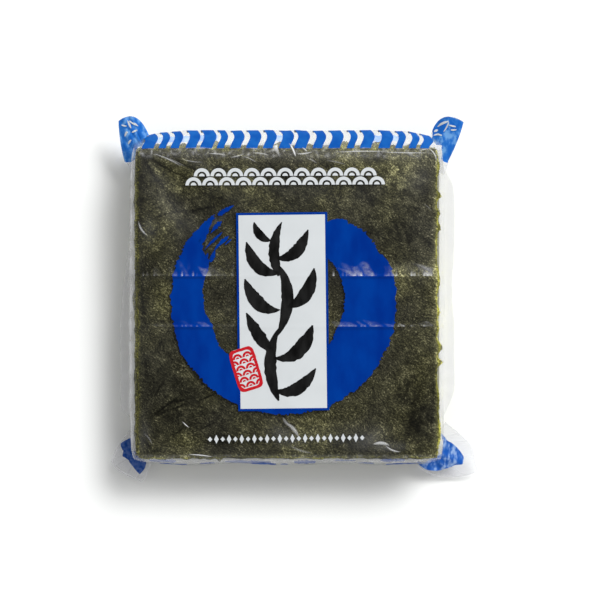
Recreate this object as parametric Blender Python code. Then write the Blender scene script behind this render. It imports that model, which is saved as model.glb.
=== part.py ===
"""A clear sealed pack of roasted nori sheets, lying flat.

Fifty thin square-cut sheets lie in a stack. A clear film bag is drawn over them: it lies on the top
sheet, leans out from the stack's edges, and is folded under. The bag is wider than the stack, so its
sides stand out as soft wings and at each corner the folded end stands out as a flap. Film and stack
are one closed solid here.

Metres, +Z up. X runs across the pack and +Y towards its printed end. The origin is on the underside,
below the middle of the stack.
"""
import math

import bmesh
import bpy
import numpy as np

# The stack, with the film that lies on it
SHEET_X = 0.198          # a sheet, across the pack
SHEET_Y = 0.202          # a sheet, along the pack
STACK_H = 0.0222         # fifty sheets, lightly pressed
FILM_GAP = 0.0006        # film over the top sheet
DOME = 0.0012            # the middle of the stack stands a little higher than its edges
EDGE_DROP = 0.0009       # the film is drawn down where it turns over the top sheet's edge
EDGE_REACH = 24          # a high power: that drop happens in the last few millimetres
CORNER_CUT = 0.0012      # how far a corner of the stack is rounded off, along each axis
CORNER_REACH = 26

# Two creases across the pack, where the sheets were once folded in three
CREASES_Y = (0.0177, -0.0151)
CREASE_H = 0.0005
CREASE_HALF = 0.0016
CREASE_REACH = 12        # a crease dies out just before the sides

# How far the film leans out from the stack, at mid-height
FOLD_LEFT = 0.0040       # the part that follows the stack's side
FOLD_RIGHT = 0.0026
WING_LEFT = 0.0062       # the loose part that stands out beyond it
WING_RIGHT = 0.0064
LEAN_NEAR = 0.0044
LEAN_FAR = 0.0126
FAR_DROOP = 0.28         # share of the far lean that is lost towards the corners
FAR_DROOP_REACH = 8
NEAR_WAVE = 0.12         # the near film swells and draws in again, three times along its length
LEAN_REACH = 20          # a side's lean fades within a few millimetres of its own edge
LEAN_FADE = 0.3          # share of a lean that is lost at a corner, where two sides meet
LEAN_FADE_REACH = 10

# Where each wing starts and ends along Y, and over what length it swells at either end
WING_LEFT_Y = (-0.0765, 0.0660)
WING_LEFT_RAMP = (0.0100, 0.0850)
WING_RIGHT_Y = (-0.0785, 0.0940)
WING_RIGHT_RAMP = (0.0240, 0.0220)
DIP_Y, DIP_WIDTH, DIP_SHARE = 0.0090, 0.0180, 0.2    # the right wing draws in once, near its middle

# The walls' profile from the top edge down to the underside
FOLDED_UNDER = 0.30      # share of the lean that is left where the film turns under
SIDE_ROUNDNESS = 2.2     # 1 is a straight slope down to a crisp fold at mid-height, 2 is round
END_ROUNDNESS = 1.35

# The label printed on the film, whose outline the top's faces follow
LABEL_X = (-0.0330, 0.0262)
LABEL_Y = (-0.0695, 0.0592)
LABEL_RIM = 0.0013

# Mesh fineness
CELLS = 40               # plain rows and columns of the top, before those at creases and label
CLEAR_CELL = 0.3         # a plain line nearer than this share of a cell to a named line is left out
WALL_RINGS = 8
FLAP_ALONG = 24
FLAP_OUT = 6

# The corner flaps
FLAP_WALL = 0.0013       # two film layers with a little air between them
ROOT_IN = 0.0080         # a flap's root lies this far inside the stack's corner
RIM_SOFTNESS = 1.5       # a flap leaves its root level and then rises or droops towards its rim
FAR_ROOT_Z = 0.0120
NEAR_ROOT_Z = 0.0085

# Each flap: its corner's signs, the height of its root, and its rim. The rim starts at a point and
# runs on in curved stretches, each a point that it is pulled towards and the point that it reaches,
# all as (out along X, out along Y, height) from the stack's corner.
FLAPS = {
    "far_left": ((-1, 1), FAR_ROOT_Z, (-0.0085, 0.0080, 0.012), (
        ((-0.0034, 0.0215, 0.015), (0.0040, 0.0216, 0.016)),
        ((0.0085, 0.0213, 0.016), (0.0119, 0.0184, 0.015)),
        ((0.0118, 0.0060, 0.012), (0.0084, -0.0077, 0.009)),
        ((0.0070, -0.0090, 0.009), (0.0020, -0.0130, 0.009)),
    )),
    "far_right": ((1, 1), FAR_ROOT_Z, (-0.0055, 0.0100, 0.012), (
        ((-0.0020, 0.0212, 0.015), (0.0055, 0.0213, 0.016)),
        ((0.0110, 0.0210, 0.016), (0.0159, 0.0178, 0.015)),
        ((0.0128, 0.0055, 0.012), (0.0062, -0.0072, 0.009)),
        ((0.0060, -0.0110, 0.009), (0.0030, -0.0170, 0.010)),
    )),
    "near_left": ((-1, -1), NEAR_ROOT_Z, (-0.0095, 0.0000, 0.008), (
        ((-0.0060, 0.0164, 0.004), (-0.0019, 0.0159, 0.002)),
        ((0.0060, 0.0132, 0.002), (0.0126, 0.0087, 0.003)),
        ((0.0165, 0.0055, 0.003), (0.0175, 0.0029, 0.004)),
        ((0.0140, -0.0080, 0.008), (0.0040, -0.0190, 0.010)),
    )),
    "near_right": ((1, -1), NEAR_ROOT_Z, (-0.0160, 0.0020, 0.008), (
        ((-0.0080, 0.0132, 0.004), (0.0054, 0.0136, 0.002)),
        ((0.0160, 0.0135, 0.002), (0.0255, 0.0099, 0.003)),
        ((0.0250, -0.0070, 0.005), (0.0180, -0.0115, 0.007)),
        ((0.0110, -0.0180, 0.009), (0.0040, -0.0235, 0.011)),
    )),
}

HALF_X, HALF_Y = SHEET_X / 2, SHEET_Y / 2
TOP_Z = STACK_H + FILM_GAP


def clear_scene():
    for obj in list(bpy.data.objects):
        bpy.data.objects.remove(obj)


def plain_material(name, colour, roughness, alpha=1.0):
    material = bpy.data.materials.new(name)
    material.use_nodes = True
    shader = material.node_tree.nodes["Principled BSDF"]
    shader.inputs["Base Color"].default_value = (*colour, 1.0)
    shader.inputs["Roughness"].default_value = roughness
    shader.inputs["Alpha"].default_value = alpha
    return material


def smooth_step(share):
    share = min(max(share, 0.0), 1.0)
    return share * share * (3 - 2 * share)


def top_height(x, y):
    """Height of the film over the stack: a flat dome, drawn down at the edges, with two low ridges."""
    u, v = abs(x) / HALF_X, abs(y) / HALF_Y
    dome = DOME * (1 - u * u) * (1 - v * v)
    drop = EDGE_DROP * max(u, v) ** EDGE_REACH
    ridge = sum(CREASE_H * max(0.0, 1 - abs(y - line) / CREASE_HALF) for line in CREASES_Y)
    return TOP_Z + dome - drop + ridge * (1 - max(u, v) ** CREASE_REACH)


def wing(y, ends, ramps):
    """Share of a wing's full width at a place along Y: it swells in from both of its ends."""
    return smooth_step((y - ends[0]) / ramps[0]) * smooth_step((ends[1] - y) / ramps[1])


def full_lean(u, v):
    """How far the film leans out along X and along Y beside a point of the stack's edge."""
    y = v * HALF_Y
    if u > 0:
        dip = DIP_SHARE * math.exp(-((y - DIP_Y) / DIP_WIDTH) ** 2)
        side = FOLD_RIGHT + WING_RIGHT * wing(y, WING_RIGHT_Y, WING_RIGHT_RAMP) * (1 - dip)
    else:
        side = FOLD_LEFT + WING_LEFT * wing(y, WING_LEFT_Y, WING_LEFT_RAMP)
    if v > 0:
        end = LEAN_FAR * (1 - FAR_DROOP * abs(u) ** FAR_DROOP_REACH)
    else:
        end = LEAN_NEAR * (1 + NEAR_WAVE * math.cos(3 * math.pi * u))
    return (side * (1 - LEAN_FADE * abs(v) ** LEAN_FADE_REACH) * abs(u) ** LEAN_REACH,
            end * (1 - LEAN_FADE * abs(u) ** LEAN_FADE_REACH) * abs(v) ** LEAN_REACH)


def lean_share(fall, roundness):
    """Share of the full lean at a height: 0 at the top edge, 1 near the middle, then turned under."""
    arch = 1 - abs(2 * fall - 1) ** roundness
    return min(1.0, arch * (1 - FOLDED_UNDER / 2) + FOLDED_UNDER * fall)


def plan_point(u, v, fall):
    """A point of the pack's outline: u and v run from -1 to 1 over the stack, fall from 0 to 1."""
    cut = CORNER_CUT * abs(u * v) ** CORNER_REACH
    lean_x, lean_y = full_lean(u, v)
    x = abs(u) * HALF_X - cut + lean_share(fall, SIDE_ROUNDNESS) * lean_x
    y = abs(v) * HALF_Y - cut + lean_share(fall, END_ROUNDNESS) * lean_y
    return math.copysign(x, u), math.copysign(y, v)


def grid_shares(half, lines):
    """Grid lines from -1 to 1: the named ones, and evenly spaced ones that stay clear of them."""
    named = [line / half for line in lines]
    plain = np.linspace(-1, 1, CELLS + 1)
    clear = CLEAR_CELL * (plain[1] - plain[0])
    kept = [share for share in plain if all(abs(share - line) > clear for line in named)]
    return sorted(kept + named)


def grid_lines():
    """The top's columns and rows, which pass through the label's edges and the creases."""
    columns, rows = ([edge + inwards * LABEL_RIM
                      for edge, way in zip(edges, (1, -1)) for inwards in (0, way)]
                     for edges in (LABEL_X, LABEL_Y))
    rows += [line + way * CREASE_HALF for line in CREASES_Y for way in (-1, 0, 1)]
    return grid_shares(HALF_X, columns), grid_shares(HALF_Y, rows)


def inside(x, y, rim):
    """Whether a point is on the label, further than rim from its edges."""
    return (LABEL_X[0] + rim < x < LABEL_X[1] - rim) and (LABEL_Y[0] + rim < y < LABEL_Y[1] - rim)


def add_top(bm, place):
    """The film over the stack: a grid whose points remember their share of the width and depth."""
    columns, rows = grid_lines()
    points = []
    for v in rows:
        line = []
        for u in columns:
            x, y = plan_point(u, v, 0)
            point = bm.verts.new((x, y, top_height(x, y)))
            point[place] = (u, v, 0)
            line.append(point)
        points.append(line)
    for near, far in zip(points, points[1:]):
        for i in range(len(columns) - 1):
            face = bm.faces.new((near[i], near[i + 1], far[i + 1], far[i]))
            x, y, _ = face.calc_center_median()
            face.material_index = 1 if inside(x, y, LABEL_RIM) else 2 if inside(x, y, 0) else 0


def add_walls(bm, place):
    """The film's sides: the top's rim is drawn out and down, ring by ring, and closed underneath."""
    rim = [edge for edge in bm.edges if edge.is_boundary]
    for ring in range(1, WALL_RINGS + 1):
        fall = ring / WALL_RINGS
        grown = bmesh.ops.extrude_edge_only(bm, edges=rim)["geom"]
        for vert in (v for v in grown if isinstance(v, bmesh.types.BMVert)):
            u, v, _ = vert[place]
            x, y = plan_point(u, v, fall)
            rim_z = top_height(*plan_point(u, v, 0))
            vert.co = (x, y, rim_z * (1 - fall))
        for face in (f for f in grown if isinstance(f, bmesh.types.BMFace)):
            face.material_index = 3
        rim = [edge for edge in grown if isinstance(edge, bmesh.types.BMEdge) and edge.is_boundary]
    bmesh.ops.edgeloop_fill(bm, edges=rim, mat_nr=3)


def make_body(materials):
    mesh = bpy.data.meshes.new("nori_pack")
    bm = bmesh.new()
    place = bm.verts.layers.float_vector.new("place")
    add_top(bm, place)
    add_walls(bm, place)
    bmesh.ops.recalc_face_normals(bm, faces=bm.faces)
    bmesh.ops.triangulate(bm, faces=bm.faces)
    bm.to_mesh(mesh)
    bm.free()
    for material in materials:
        mesh.materials.append(material)
    mesh.shade_smooth()
    mesh.set_sharp_from_angle(angle=math.radians(40))
    body = bpy.data.objects.new("nori_pack", mesh)
    bpy.context.scene.collection.objects.link(body)
    return body


def bend(start, pull, end, share):
    """A point of the curved stretch from start to end, pulled towards a third point."""
    return ((1 - share) ** 2 * np.array(start) + 2 * share * (1 - share) * np.array(pull)
            + share ** 2 * np.array(end))


def rim_point(start, stretches, along):
    """A point of a flap's rim, along from 0 to 1, each stretch taking the same share of the way."""
    at = along * len(stretches)
    number = min(int(at), len(stretches) - 1)
    pull, end = stretches[number]
    return bend(start if number == 0 else stretches[number - 1][1], pull, end, at - number)


def flap_point(flap, along, out):
    """A point of a flap's middle surface: along its rim from 0 to 1, and out from its root, 0 to 1."""
    (way_x, way_y), root_z, start, stretches = FLAPS[flap]
    edge = rim_point(start, stretches, along)
    swing = (along - 0.5) * ROOT_IN / 2
    root = np.array((-ROOT_IN + swing, -ROOT_IN - swing))
    x, y = root + (edge[:2] - root) * out
    z = root_z + (edge[2] - root_z) * out ** RIM_SOFTNESS
    return way_x * (HALF_X + x), way_y * (HALF_Y + y), z


def make_flap(flap, material, group):
    """One corner flap: a curved sheet of film layers, given its wall by Solidify."""
    bm = bmesh.new()
    points = [[bm.verts.new(flap_point(flap, i / FLAP_ALONG, j / FLAP_OUT))
               for i in range(FLAP_ALONG + 1)] for j in range(FLAP_OUT + 1)]
    for near, far in zip(points, points[1:]):
        for i in range(FLAP_ALONG):
            bm.faces.new((near[i], near[i + 1], far[i + 1], far[i]))
    bmesh.ops.recalc_face_normals(bm, faces=bm.faces)
    mesh = bpy.data.meshes.new(flap)
    bm.to_mesh(mesh)
    bm.free()
    mesh.materials.append(material)
    obj = bpy.data.objects.new(flap, mesh)
    group.objects.link(obj)
    wall = obj.modifiers.new("wall", "SOLIDIFY")
    wall.thickness = FLAP_WALL
    wall.offset = 0
    obj.modifiers.new("flat faces", "TRIANGULATE")


def apply_modifiers(obj):
    graph = bpy.context.evaluated_depsgraph_get()
    mesh = bpy.data.meshes.new_from_object(obj.evaluated_get(graph))
    obj.modifiers.clear()
    obj.data = mesh


def fuse(body, group):
    """Joins the flaps to the pack by one union, then removes them. All faces are triangles by now."""
    union = body.modifiers.new("flaps", "BOOLEAN")
    union.operation = "UNION"
    union.operand_type = "COLLECTION"
    union.collection = group
    union.solver = "EXACT"
    apply_modifiers(body)
    for obj in list(group.objects):
        bpy.data.objects.remove(obj)
    bpy.data.collections.remove(group)


def build():
    clear_scene()
    nori = plain_material("roasted nori under film", (0.040, 0.039, 0.024), 0.45)
    label_white = plain_material("white label print", (0.68, 0.71, 0.73), 0.35)
    print_blue = plain_material("blue print", (0.004, 0.042, 0.32), 0.35)
    film = plain_material("clear film", (0.86, 0.88, 0.88), 0.15, alpha=0.35)
    body = make_body([nori, label_white, print_blue, film])
    group = bpy.data.collections.new("corner flaps")
    bpy.context.scene.collection.children.link(group)
    for flap in FLAPS:
        make_flap(flap, print_blue, group)
    fuse(body, group)


build()
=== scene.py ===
# %% [markdown]
# # A clear pack of roasted nori sheets
# Fifty crisp seaweed sheets lie in a stack, and a clear film bag is drawn over them. The film is
# printed: a blue brushed ring, a white label, a small red seal and two white ornament rows. The bag is
# a little too big, so film stands out at the sides and as a flap at each corner.
# The solid of the pack is loaded first. The pieces made below stand for it, in the same place.

# %% Load the frame
import math

import bpy
import numpy as np
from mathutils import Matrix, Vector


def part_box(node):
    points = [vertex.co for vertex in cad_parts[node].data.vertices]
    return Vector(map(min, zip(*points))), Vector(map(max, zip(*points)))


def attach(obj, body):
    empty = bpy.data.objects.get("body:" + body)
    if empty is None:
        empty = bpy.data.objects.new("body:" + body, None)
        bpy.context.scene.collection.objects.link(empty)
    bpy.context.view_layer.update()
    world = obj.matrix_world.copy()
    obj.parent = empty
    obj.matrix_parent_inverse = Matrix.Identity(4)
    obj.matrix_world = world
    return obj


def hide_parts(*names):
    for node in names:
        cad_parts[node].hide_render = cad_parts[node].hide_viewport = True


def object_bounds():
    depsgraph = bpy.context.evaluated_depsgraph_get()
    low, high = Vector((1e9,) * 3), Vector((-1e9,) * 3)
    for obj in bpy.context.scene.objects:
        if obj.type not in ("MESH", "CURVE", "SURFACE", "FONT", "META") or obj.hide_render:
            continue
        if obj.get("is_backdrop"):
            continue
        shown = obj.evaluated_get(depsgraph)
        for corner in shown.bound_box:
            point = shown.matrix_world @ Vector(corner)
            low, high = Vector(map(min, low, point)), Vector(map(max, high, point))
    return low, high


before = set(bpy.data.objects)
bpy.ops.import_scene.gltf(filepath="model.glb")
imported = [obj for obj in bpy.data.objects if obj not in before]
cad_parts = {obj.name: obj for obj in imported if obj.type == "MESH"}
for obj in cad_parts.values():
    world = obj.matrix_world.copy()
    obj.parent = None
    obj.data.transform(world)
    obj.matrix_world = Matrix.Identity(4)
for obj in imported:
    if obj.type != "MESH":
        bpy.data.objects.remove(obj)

CAD_BOX = [list(corner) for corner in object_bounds()]
MM = 0.001
LOW, HIGH = (np.array(corner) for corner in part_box("nori_pack"))
print("the pack's box in mm:", np.round(LOW / MM, 1), np.round(HIGH / MM, 1))

# %% [markdown]
# ## The camera
# The photograph is taken from straight above with a long lens, so that no side of the pack shows.
# A short lens close by would show the sides, so the camera stands back by 1.5 metres.

# %% Camera straight above
LENS = 135               # mm, on a sensor 36 mm wide
SENSOR = 36
VIEW_WIDTH = 389.4 * MM  # the picture's width, measured at the top of the pack
VIEW_X, VIEW_Y = 7.8 * MM, 2.4 * MM

camera_data = bpy.data.cameras.new("camera")
camera_data.lens = LENS
camera_data.sensor_width = SENSOR
camera = bpy.data.objects.new("camera", camera_data)
camera.location = (VIEW_X, VIEW_Y, HIGH[2] + VIEW_WIDTH * LENS / SENSOR)
bpy.context.scene.collection.objects.link(camera)
bpy.context.scene.camera = camera
print("camera height in mm:", round(camera.location.z / MM))

# %% [markdown]
# ## Helpers
# Colours are written as the eye reads them off a screen, in sRGB. Blender's shaders work in linear
# light, so one function turns a hex value into linear numbers. Another adds a node with its settings
# and its links in one line, which keeps a material as short as a recipe. Sums and noise, which every
# recipe uses, have a short form of it.

# %% Colour and node helpers
def linear(text):
    """An sRGB hex value as linear red, green, blue and alpha: c/12.92 when dark, else a 2.4 power."""
    values = [int(text[i:i + 2], 16) / 255 for i in (0, 2, 4)]
    return [c / 12.92 if c <= 0.04045 else ((c + 0.055) / 1.055) ** 2.4 for c in values] + [1.0]


def add_node(tree, kind, inputs=None, stops=None, **settings):
    """Adds a node, then its settings, its sockets (a value, or another node's output) and ramp stops."""
    made = tree.nodes.new("ShaderNode" + kind)
    for name, value in settings.items():
        setattr(made, name, value)
    for name, value in (inputs or {}).items():
        if isinstance(value, bpy.types.NodeSocket):
            tree.links.new(value, made.inputs[name])
        else:
            made.inputs[name].default_value = value
    if stops:
        elements = made.color_ramp.elements
        while len(elements) < len(stops):
            elements.new(0.5)
        for element, (place, text) in zip(elements, stops):
            element.position = place
            element.color = linear(text)
    return made


def maths(tree, operation, *values, kind="Math"):
    """The result of a Math or VectorMath node."""
    return add_node(tree, kind, dict(enumerate(values)), operation=operation).outputs[0]


def noise(tree, place, size, detail=3.0, roughness=0.5, output="Fac"):
    """Noise of about 0 to 1 at a place, with features of that size in metres."""
    return add_node(tree, "TexNoise", {"Vector": place, "Scale": 1 / size, "Detail": detail,
                                       "Roughness": roughness}).outputs[output]


def new_material(name):
    """A material and its empty node tree: the recipe adds the nodes."""
    material = bpy.data.materials.new(name)
    material.use_nodes = True
    material.node_tree.nodes.clear()
    return material, material.node_tree


def surface(tree, shader, kind="Material"):
    """Ends a recipe: the shader goes to the output node."""
    add_node(tree, "Output" + kind, {"Surface": shader.outputs[0]})


print("black, middle grey, white:", [round(linear(text)[0], 3) for text in ("000000", "808080", "ffffff")])

# %% [markdown]
# A surface here is a grid of points, worked out by numpy in one go: a function of two parameters
# gives every point at once, and the faces only join neighbours. A printed shape can be several such
# grids in one mesh.

# %% Grids into meshes
def two_ranges(first, second):
    """All pairs from two ranges (start, end, count), as two grids. The first range runs down the rows."""
    return np.meshgrid(np.linspace(*first), np.linspace(*second), indexing="ij")


def grid_faces(rows, columns, start=0):
    """Quads between neighbours of a rows x columns grid, whose points are numbered row by row."""
    corner = start + (np.arange(rows - 1)[:, None] * columns + np.arange(columns - 1)).ravel()
    return np.stack([corner, corner + 1, corner + columns + 1, corner + columns], axis=1)


def mesh_object(name, points, faces, material, slot, shares=None):
    """A piece from points and faces. shares holds one number a point for each named attribute."""
    mesh = bpy.data.meshes.new(name)
    mesh.from_pydata(points.reshape(-1, 3).tolist(), [], faces if isinstance(faces, list) else faces.tolist())
    mesh.shade_smooth()
    for key, values in (shares or {}).items():
        values = np.ravel(values).astype(np.float32)
        mesh.attributes.new(key, "FLOAT", "POINT").data.foreach_set("value", values)
    mesh.materials.append(material)
    piece = bpy.data.objects.new(name, mesh)
    bpy.context.scene.collection.objects.link(piece)
    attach(piece, "root")
    print(name, len(mesh.vertices), "points,", len(mesh.polygons), "faces")
    return piece


def join_grids(grids):
    """Several grids (rows x columns x 3) as one list of points and one of faces."""
    points, faces, start = [], [], 0
    for grid in grids:
        rows, columns = grid.shape[:2]
        points.append(grid.reshape(-1, 3))
        faces.append(grid_faces(rows, columns, start))
        start += rows * columns
    return np.concatenate(points), np.concatenate(faces)


def thicken(piece, wall):
    """Solidify turns a skin into a closed plate, whose wall grows away from its front. The skin's border
    (edges with one face) is marked sharp first, or the rim would bend the shading of the front."""
    mesh = piece.data
    used = np.empty(len(mesh.loops), int)
    mesh.loops.foreach_get("edge_index", used)
    border = np.bincount(used, minlength=len(mesh.edges)) == 1
    mesh.attributes.new("sharp_edge", "BOOLEAN", "EDGE").data.foreach_set("value", border)
    solid = piece.modifiers.new("wall", "SOLIDIFY")
    solid.thickness = wall
    solid.offset = -1.0


def plate(name, grids, wall, material, slot, shares=None):
    """A piece from several grids, closed to a plate of that wall."""
    thicken(mesh_object(name, *join_grids(grids), material, slot, shares), wall)


def outward(grid):
    """The grid with its columns reversed where its faces point down, by the mean of its normals."""
    normal = np.cross(np.gradient(grid, axis=1), np.gradient(grid, axis=0))
    return grid if normal[..., 2].sum() >= 0 else grid[:, ::-1]


def risen(grid, rise):
    """Moves a grid along its normals, the cross product of its two directions, by rise."""
    grid = outward(grid)
    normal = np.cross(np.gradient(grid, axis=1), np.gradient(grid, axis=0))
    return grid + rise * normal / np.maximum(np.linalg.norm(normal, axis=-1, keepdims=True), 1e-12)


def smooth_step(share):
    """Eases from 0 to 1: 3s² - 2s³ of a share held between 0 and 1."""
    share = np.clip(share, 0, 1)
    return share * share * (3 - 2 * share)


def soft_noise(a, b, cell, seed):
    """Smooth random values from -1 to 1: random numbers on a square lattice, eased between."""
    table = np.random.default_rng(seed).uniform(-1, 1, (97, 97))
    a, b = np.broadcast_arrays(np.asarray(a, float) / cell + 41.3, np.asarray(b, float) / cell + 37.7)
    left, low = np.floor(a).astype(int), np.floor(b).astype(int)
    s, t = smooth_step(a - left), smooth_step(b - low)
    near, far = (table[left % 97, row % 97] * (1 - s) + table[(left + 1) % 97, row % 97] * s
                 for row in (low, low + 1))
    return near * (1 - t) + far * t


# %% [markdown]
# ## The studio
# A plain white floor and a soft daylight studio. The sky is dim overhead and bright at the horizon:
# flat film mirrors the dim part and stays clear, while every crease tilts towards the bright part and
# glints. The key light is low, at the upper right, and as wide as a large soft box, which gives the
# wide soft shadow at the lower left. Where the key falls the floor is exposed to pure white.

# %% Floor, sky and key light
FLOOR_SIZE = 6.0
FLOOR_GAP = 0.1 * MM     # the floor lies this far under the pack, so that the two faces don't coincide
ZENITH, HORIZON = 0.01, 1.02
KEY_TURNS, KEY_RISE = (28.0, 42.0, 56.0), 27.0   # degrees: clockwise from the far side, above the floor
KEY_WIDTH = 22.0         # degrees across each, side by side like panes of a wide window
KEY_STRENGTH = 1.66

floor_mesh = bpy.data.meshes.new("floor")
edge = FLOOR_SIZE / 2
floor_mesh.from_pydata([(x * edge, y * edge, -FLOOR_GAP) for x, y in ((-1, -1), (1, -1), (1, 1), (-1, 1))],
                       [], [(0, 1, 2, 3)])
floor = bpy.data.objects.new("floor", floor_mesh)
bpy.context.scene.collection.objects.link(floor)
paper, tree = new_material("matt white studio paper")
surface(tree, add_node(tree, "BsdfDiffuse", {"Color": linear("f6f7f6")}))
floor_mesh.materials.append(paper)
floor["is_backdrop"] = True

world = bpy.data.worlds.new("studio sky")
world.use_nodes = True
tree = world.node_tree
tree.nodes.clear()
direction = add_node(tree, "TexCoord").outputs["Generated"]
height = add_node(tree, "SeparateXYZ", {"Vector": direction}).outputs["Z"]
squared = maths(tree, "MULTIPLY", height, height)
glow = add_node(tree, "MapRange", {"Value": squared, "To Min": HORIZON, "To Max": ZENITH}).outputs[0]
surface(tree, add_node(tree, "Background", {"Color": (1, 1, 1, 1), "Strength": glow}), "World")
bpy.context.scene.world = world

key_data = bpy.data.lights.new("key", "SUN")
key_data.energy = KEY_STRENGTH
key_data.angle = math.radians(KEY_WIDTH)
for key_turn in KEY_TURNS:
    key = bpy.data.objects.new("key", key_data)
    key.rotation_euler = (math.radians(KEY_RISE - 90), 0, math.radians(-key_turn))
    key.visible_glossy = False      # the flat film would mirror it as one white glare from the front left
    bpy.context.scene.collection.objects.link(key)
bpy.context.scene.view_settings.view_transform = "Standard"
print("sky share on the floor:", round((ZENITH + HORIZON) / 2, 2), "key share:",
      round(len(KEY_TURNS) * KEY_STRENGTH * math.sin(math.radians(KEY_RISE)) / math.pi, 2))

# %% [markdown]
# ## The shape of the film
# The film lies on the top sheet as a very flat dome, is drawn down at the sheet's edge, leans out from
# the stack and turns under it. These are the formulas of the pack's solid, written for whole arrays.
# The side wall is finer here: a fold follows the stack's side, and from it a thin flat wing stands out.

# %% Driving sizes of the pack
HALF_X, HALF_Y = 99 * MM, 101 * MM   # half a sheet
TOP_Z = 22.8 * MM                    # the film over the stack's edge
DOME = 1.2 * MM
EDGE_DROP, EDGE_REACH = 0.9 * MM, 24
CORNER_CUT, CORNER_REACH = 1.2 * MM, 26
CREASES_Y = (17.7 * MM, -15.1 * MM)  # where the sheets were once folded in three
CREASE_H, CREASE_HALF, CREASE_REACH = 0.5 * MM, 1.6 * MM, 12
FOLD_LEFT, FOLD_RIGHT = 4.0 * MM, 2.6 * MM
WING_LEFT, WING_RIGHT = 6.2 * MM, 6.4 * MM
LEFT_ENDS = (-76.5 * MM, 66 * MM), (10 * MM, 85 * MM)     # a wing's near and far end, and its ramps there
RIGHT_ENDS = (-78.5 * MM, 94 * MM), (24 * MM, 22 * MM)
LEAN_NEAR, LEAN_FAR = 4.4 * MM, 12.6 * MM
LEAN_REACH, LEAN_FADE, LEAN_FADE_REACH = 20, 0.3, 10
FOLDED_UNDER = 0.30
LABEL_LEFT, LABEL_RIGHT = -33.0, 26.2   # mm, the printed label, which small puckers leave smooth


def film_base(x, y):
    """Height of the smooth film over the stack: a flat dome, less a drop at the edge, plus two ridges.
    The ridges are lower under the label, whose thick ink smooths them."""
    u, v = np.abs(x) / HALF_X, np.abs(y) / HALF_Y
    reach = np.maximum(u, v)
    ridges = sum(CREASE_H * np.maximum(0, 1 - np.abs(y - line) / CREASE_HALF) for line in CREASES_Y)
    on_label = smooth_step((x / MM - LABEL_LEFT + 5) / 4) * smooth_step((LABEL_RIGHT + 5 - x / MM) / 4)
    return (TOP_Z + DOME * (1 - u * u) * (1 - v * v) - EDGE_DROP * reach ** EDGE_REACH
            + ridges * (1 - 0.85 * on_label) * (1 - np.minimum(reach, 1) ** CREASE_REACH))


def swell(y, ends, ramps):
    """A wing's share along Y: it eases in from both of its ends."""
    return smooth_step((y - ends[0]) / ramps[0]) * smooth_step((ends[1] - y) / ramps[1])


def film_wall(u, v, fall):
    """A point of the film's side. u, v from -1 to 1 name a point of the stack's edge, and fall runs
    from 0 at the top edge to 1 on the floor. Fold and wing each lean out by their width times a
    profile over fall. Small crumples, widest at mid-height, ride on it."""
    y = v * HALF_Y
    dip = 0.2 * np.exp(-((y - 9 * MM) / (18 * MM)) ** 2)
    right = swell(y, *RIGHT_ENDS) * (1 - dip) * WING_RIGHT
    left = swell(y, *LEFT_ENDS) * WING_LEFT
    fold = np.where(u > 0, FOLD_RIGHT, FOLD_LEFT)
    wing = np.where(u > 0, right, left)
    middle = 2 * fall - 1
    under = 1 - (1 - FOLDED_UNDER) * smooth_step((fall - 0.6) / 0.4)
    fold_share = (1 - (1 - np.minimum(fall / 0.2, 1)) ** 2) * under
    wing_share = np.exp(-(middle / 0.12) ** 2) + 0.12 * (1 - middle ** 2)
    end_share = np.minimum(1, (1 - np.abs(middle) ** 1.35) * (1 - FOLDED_UNDER / 2) + FOLDED_UNDER * fall)
    droop = 1 - 0.28 * np.abs(u) ** 8
    wave = 1 + 0.12 * np.cos(3 * np.pi * u)
    end = np.where(v > 0, LEAN_FAR * droop, LEAN_NEAR * wave)
    out_x = (fold * fold_share + wing * wing_share) * (1 - LEAN_FADE * np.abs(v) ** LEAN_FADE_REACH)
    out_y = end * end_share * (1 - LEAN_FADE * np.abs(u) ** LEAN_FADE_REACH)
    crumple = 0.35 * MM * soft_noise(u * HALF_X + y, fall * 0.03, 6 * MM, 5) * np.sin(np.pi * fall)
    out_x = (out_x + crumple) * np.abs(u) ** LEAN_REACH
    out_y = (out_y + crumple) * np.abs(v) ** LEAN_REACH
    cut = CORNER_CUT * np.abs(u * v) ** CORNER_REACH
    rim_x = np.sign(u) * (np.abs(u) * HALF_X - cut)
    rim_y = np.sign(v) * (np.abs(v) * HALF_Y - cut)
    z = film_base(rim_x, rim_y) * (1 - fall)
    return np.stack([rim_x + np.sign(u) * out_x, rim_y + np.sign(v) * out_y, z], axis=-1)


print("film over the middle in mm:", round(float(film_base(0.0, 0.0)) / MM, 2))

# %% [markdown]
# The film waves a little over the sheets, by a tenth of a millimetre. Prints and wrinkles have to follow
# it, so one function gives the film's point over any place. Beyond the far edge, where the film slopes
# down to the folded end, the place's Y goes on as the travel down that slope.

# %% Places on the film
FAR_SLOPE = 15.6 * MM    # from the far top edge down to the outer fold


def film_lift(x, y):
    """How far the film waves off its smooth shape: slow noise, fading towards the left and right."""
    return 0.06 * MM * (1 + soft_noise(x, y, 9 * MM, 11)) * (1 - np.minimum(1, np.abs(x) / HALF_X) ** 8)


def film_at(x, y):
    """The film's point at x, y: on top, or past the far edge at a travel of y - HALF_Y down the wall."""
    x, y = np.broadcast_arrays(x, y)
    travel = np.maximum(y - HALF_Y, 0)
    slope = film_wall(np.clip(x / HALF_X, -1, 1), np.ones(y.shape), np.minimum(travel / FAR_SLOPE, 1.9) / 2)
    lid_y = np.minimum(y, HALF_Y)
    lid = np.stack([x, y, film_base(x, lid_y) + film_lift(x, lid_y)], axis=-1)
    return np.where((travel > 0)[..., None], slope, lid)


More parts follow.
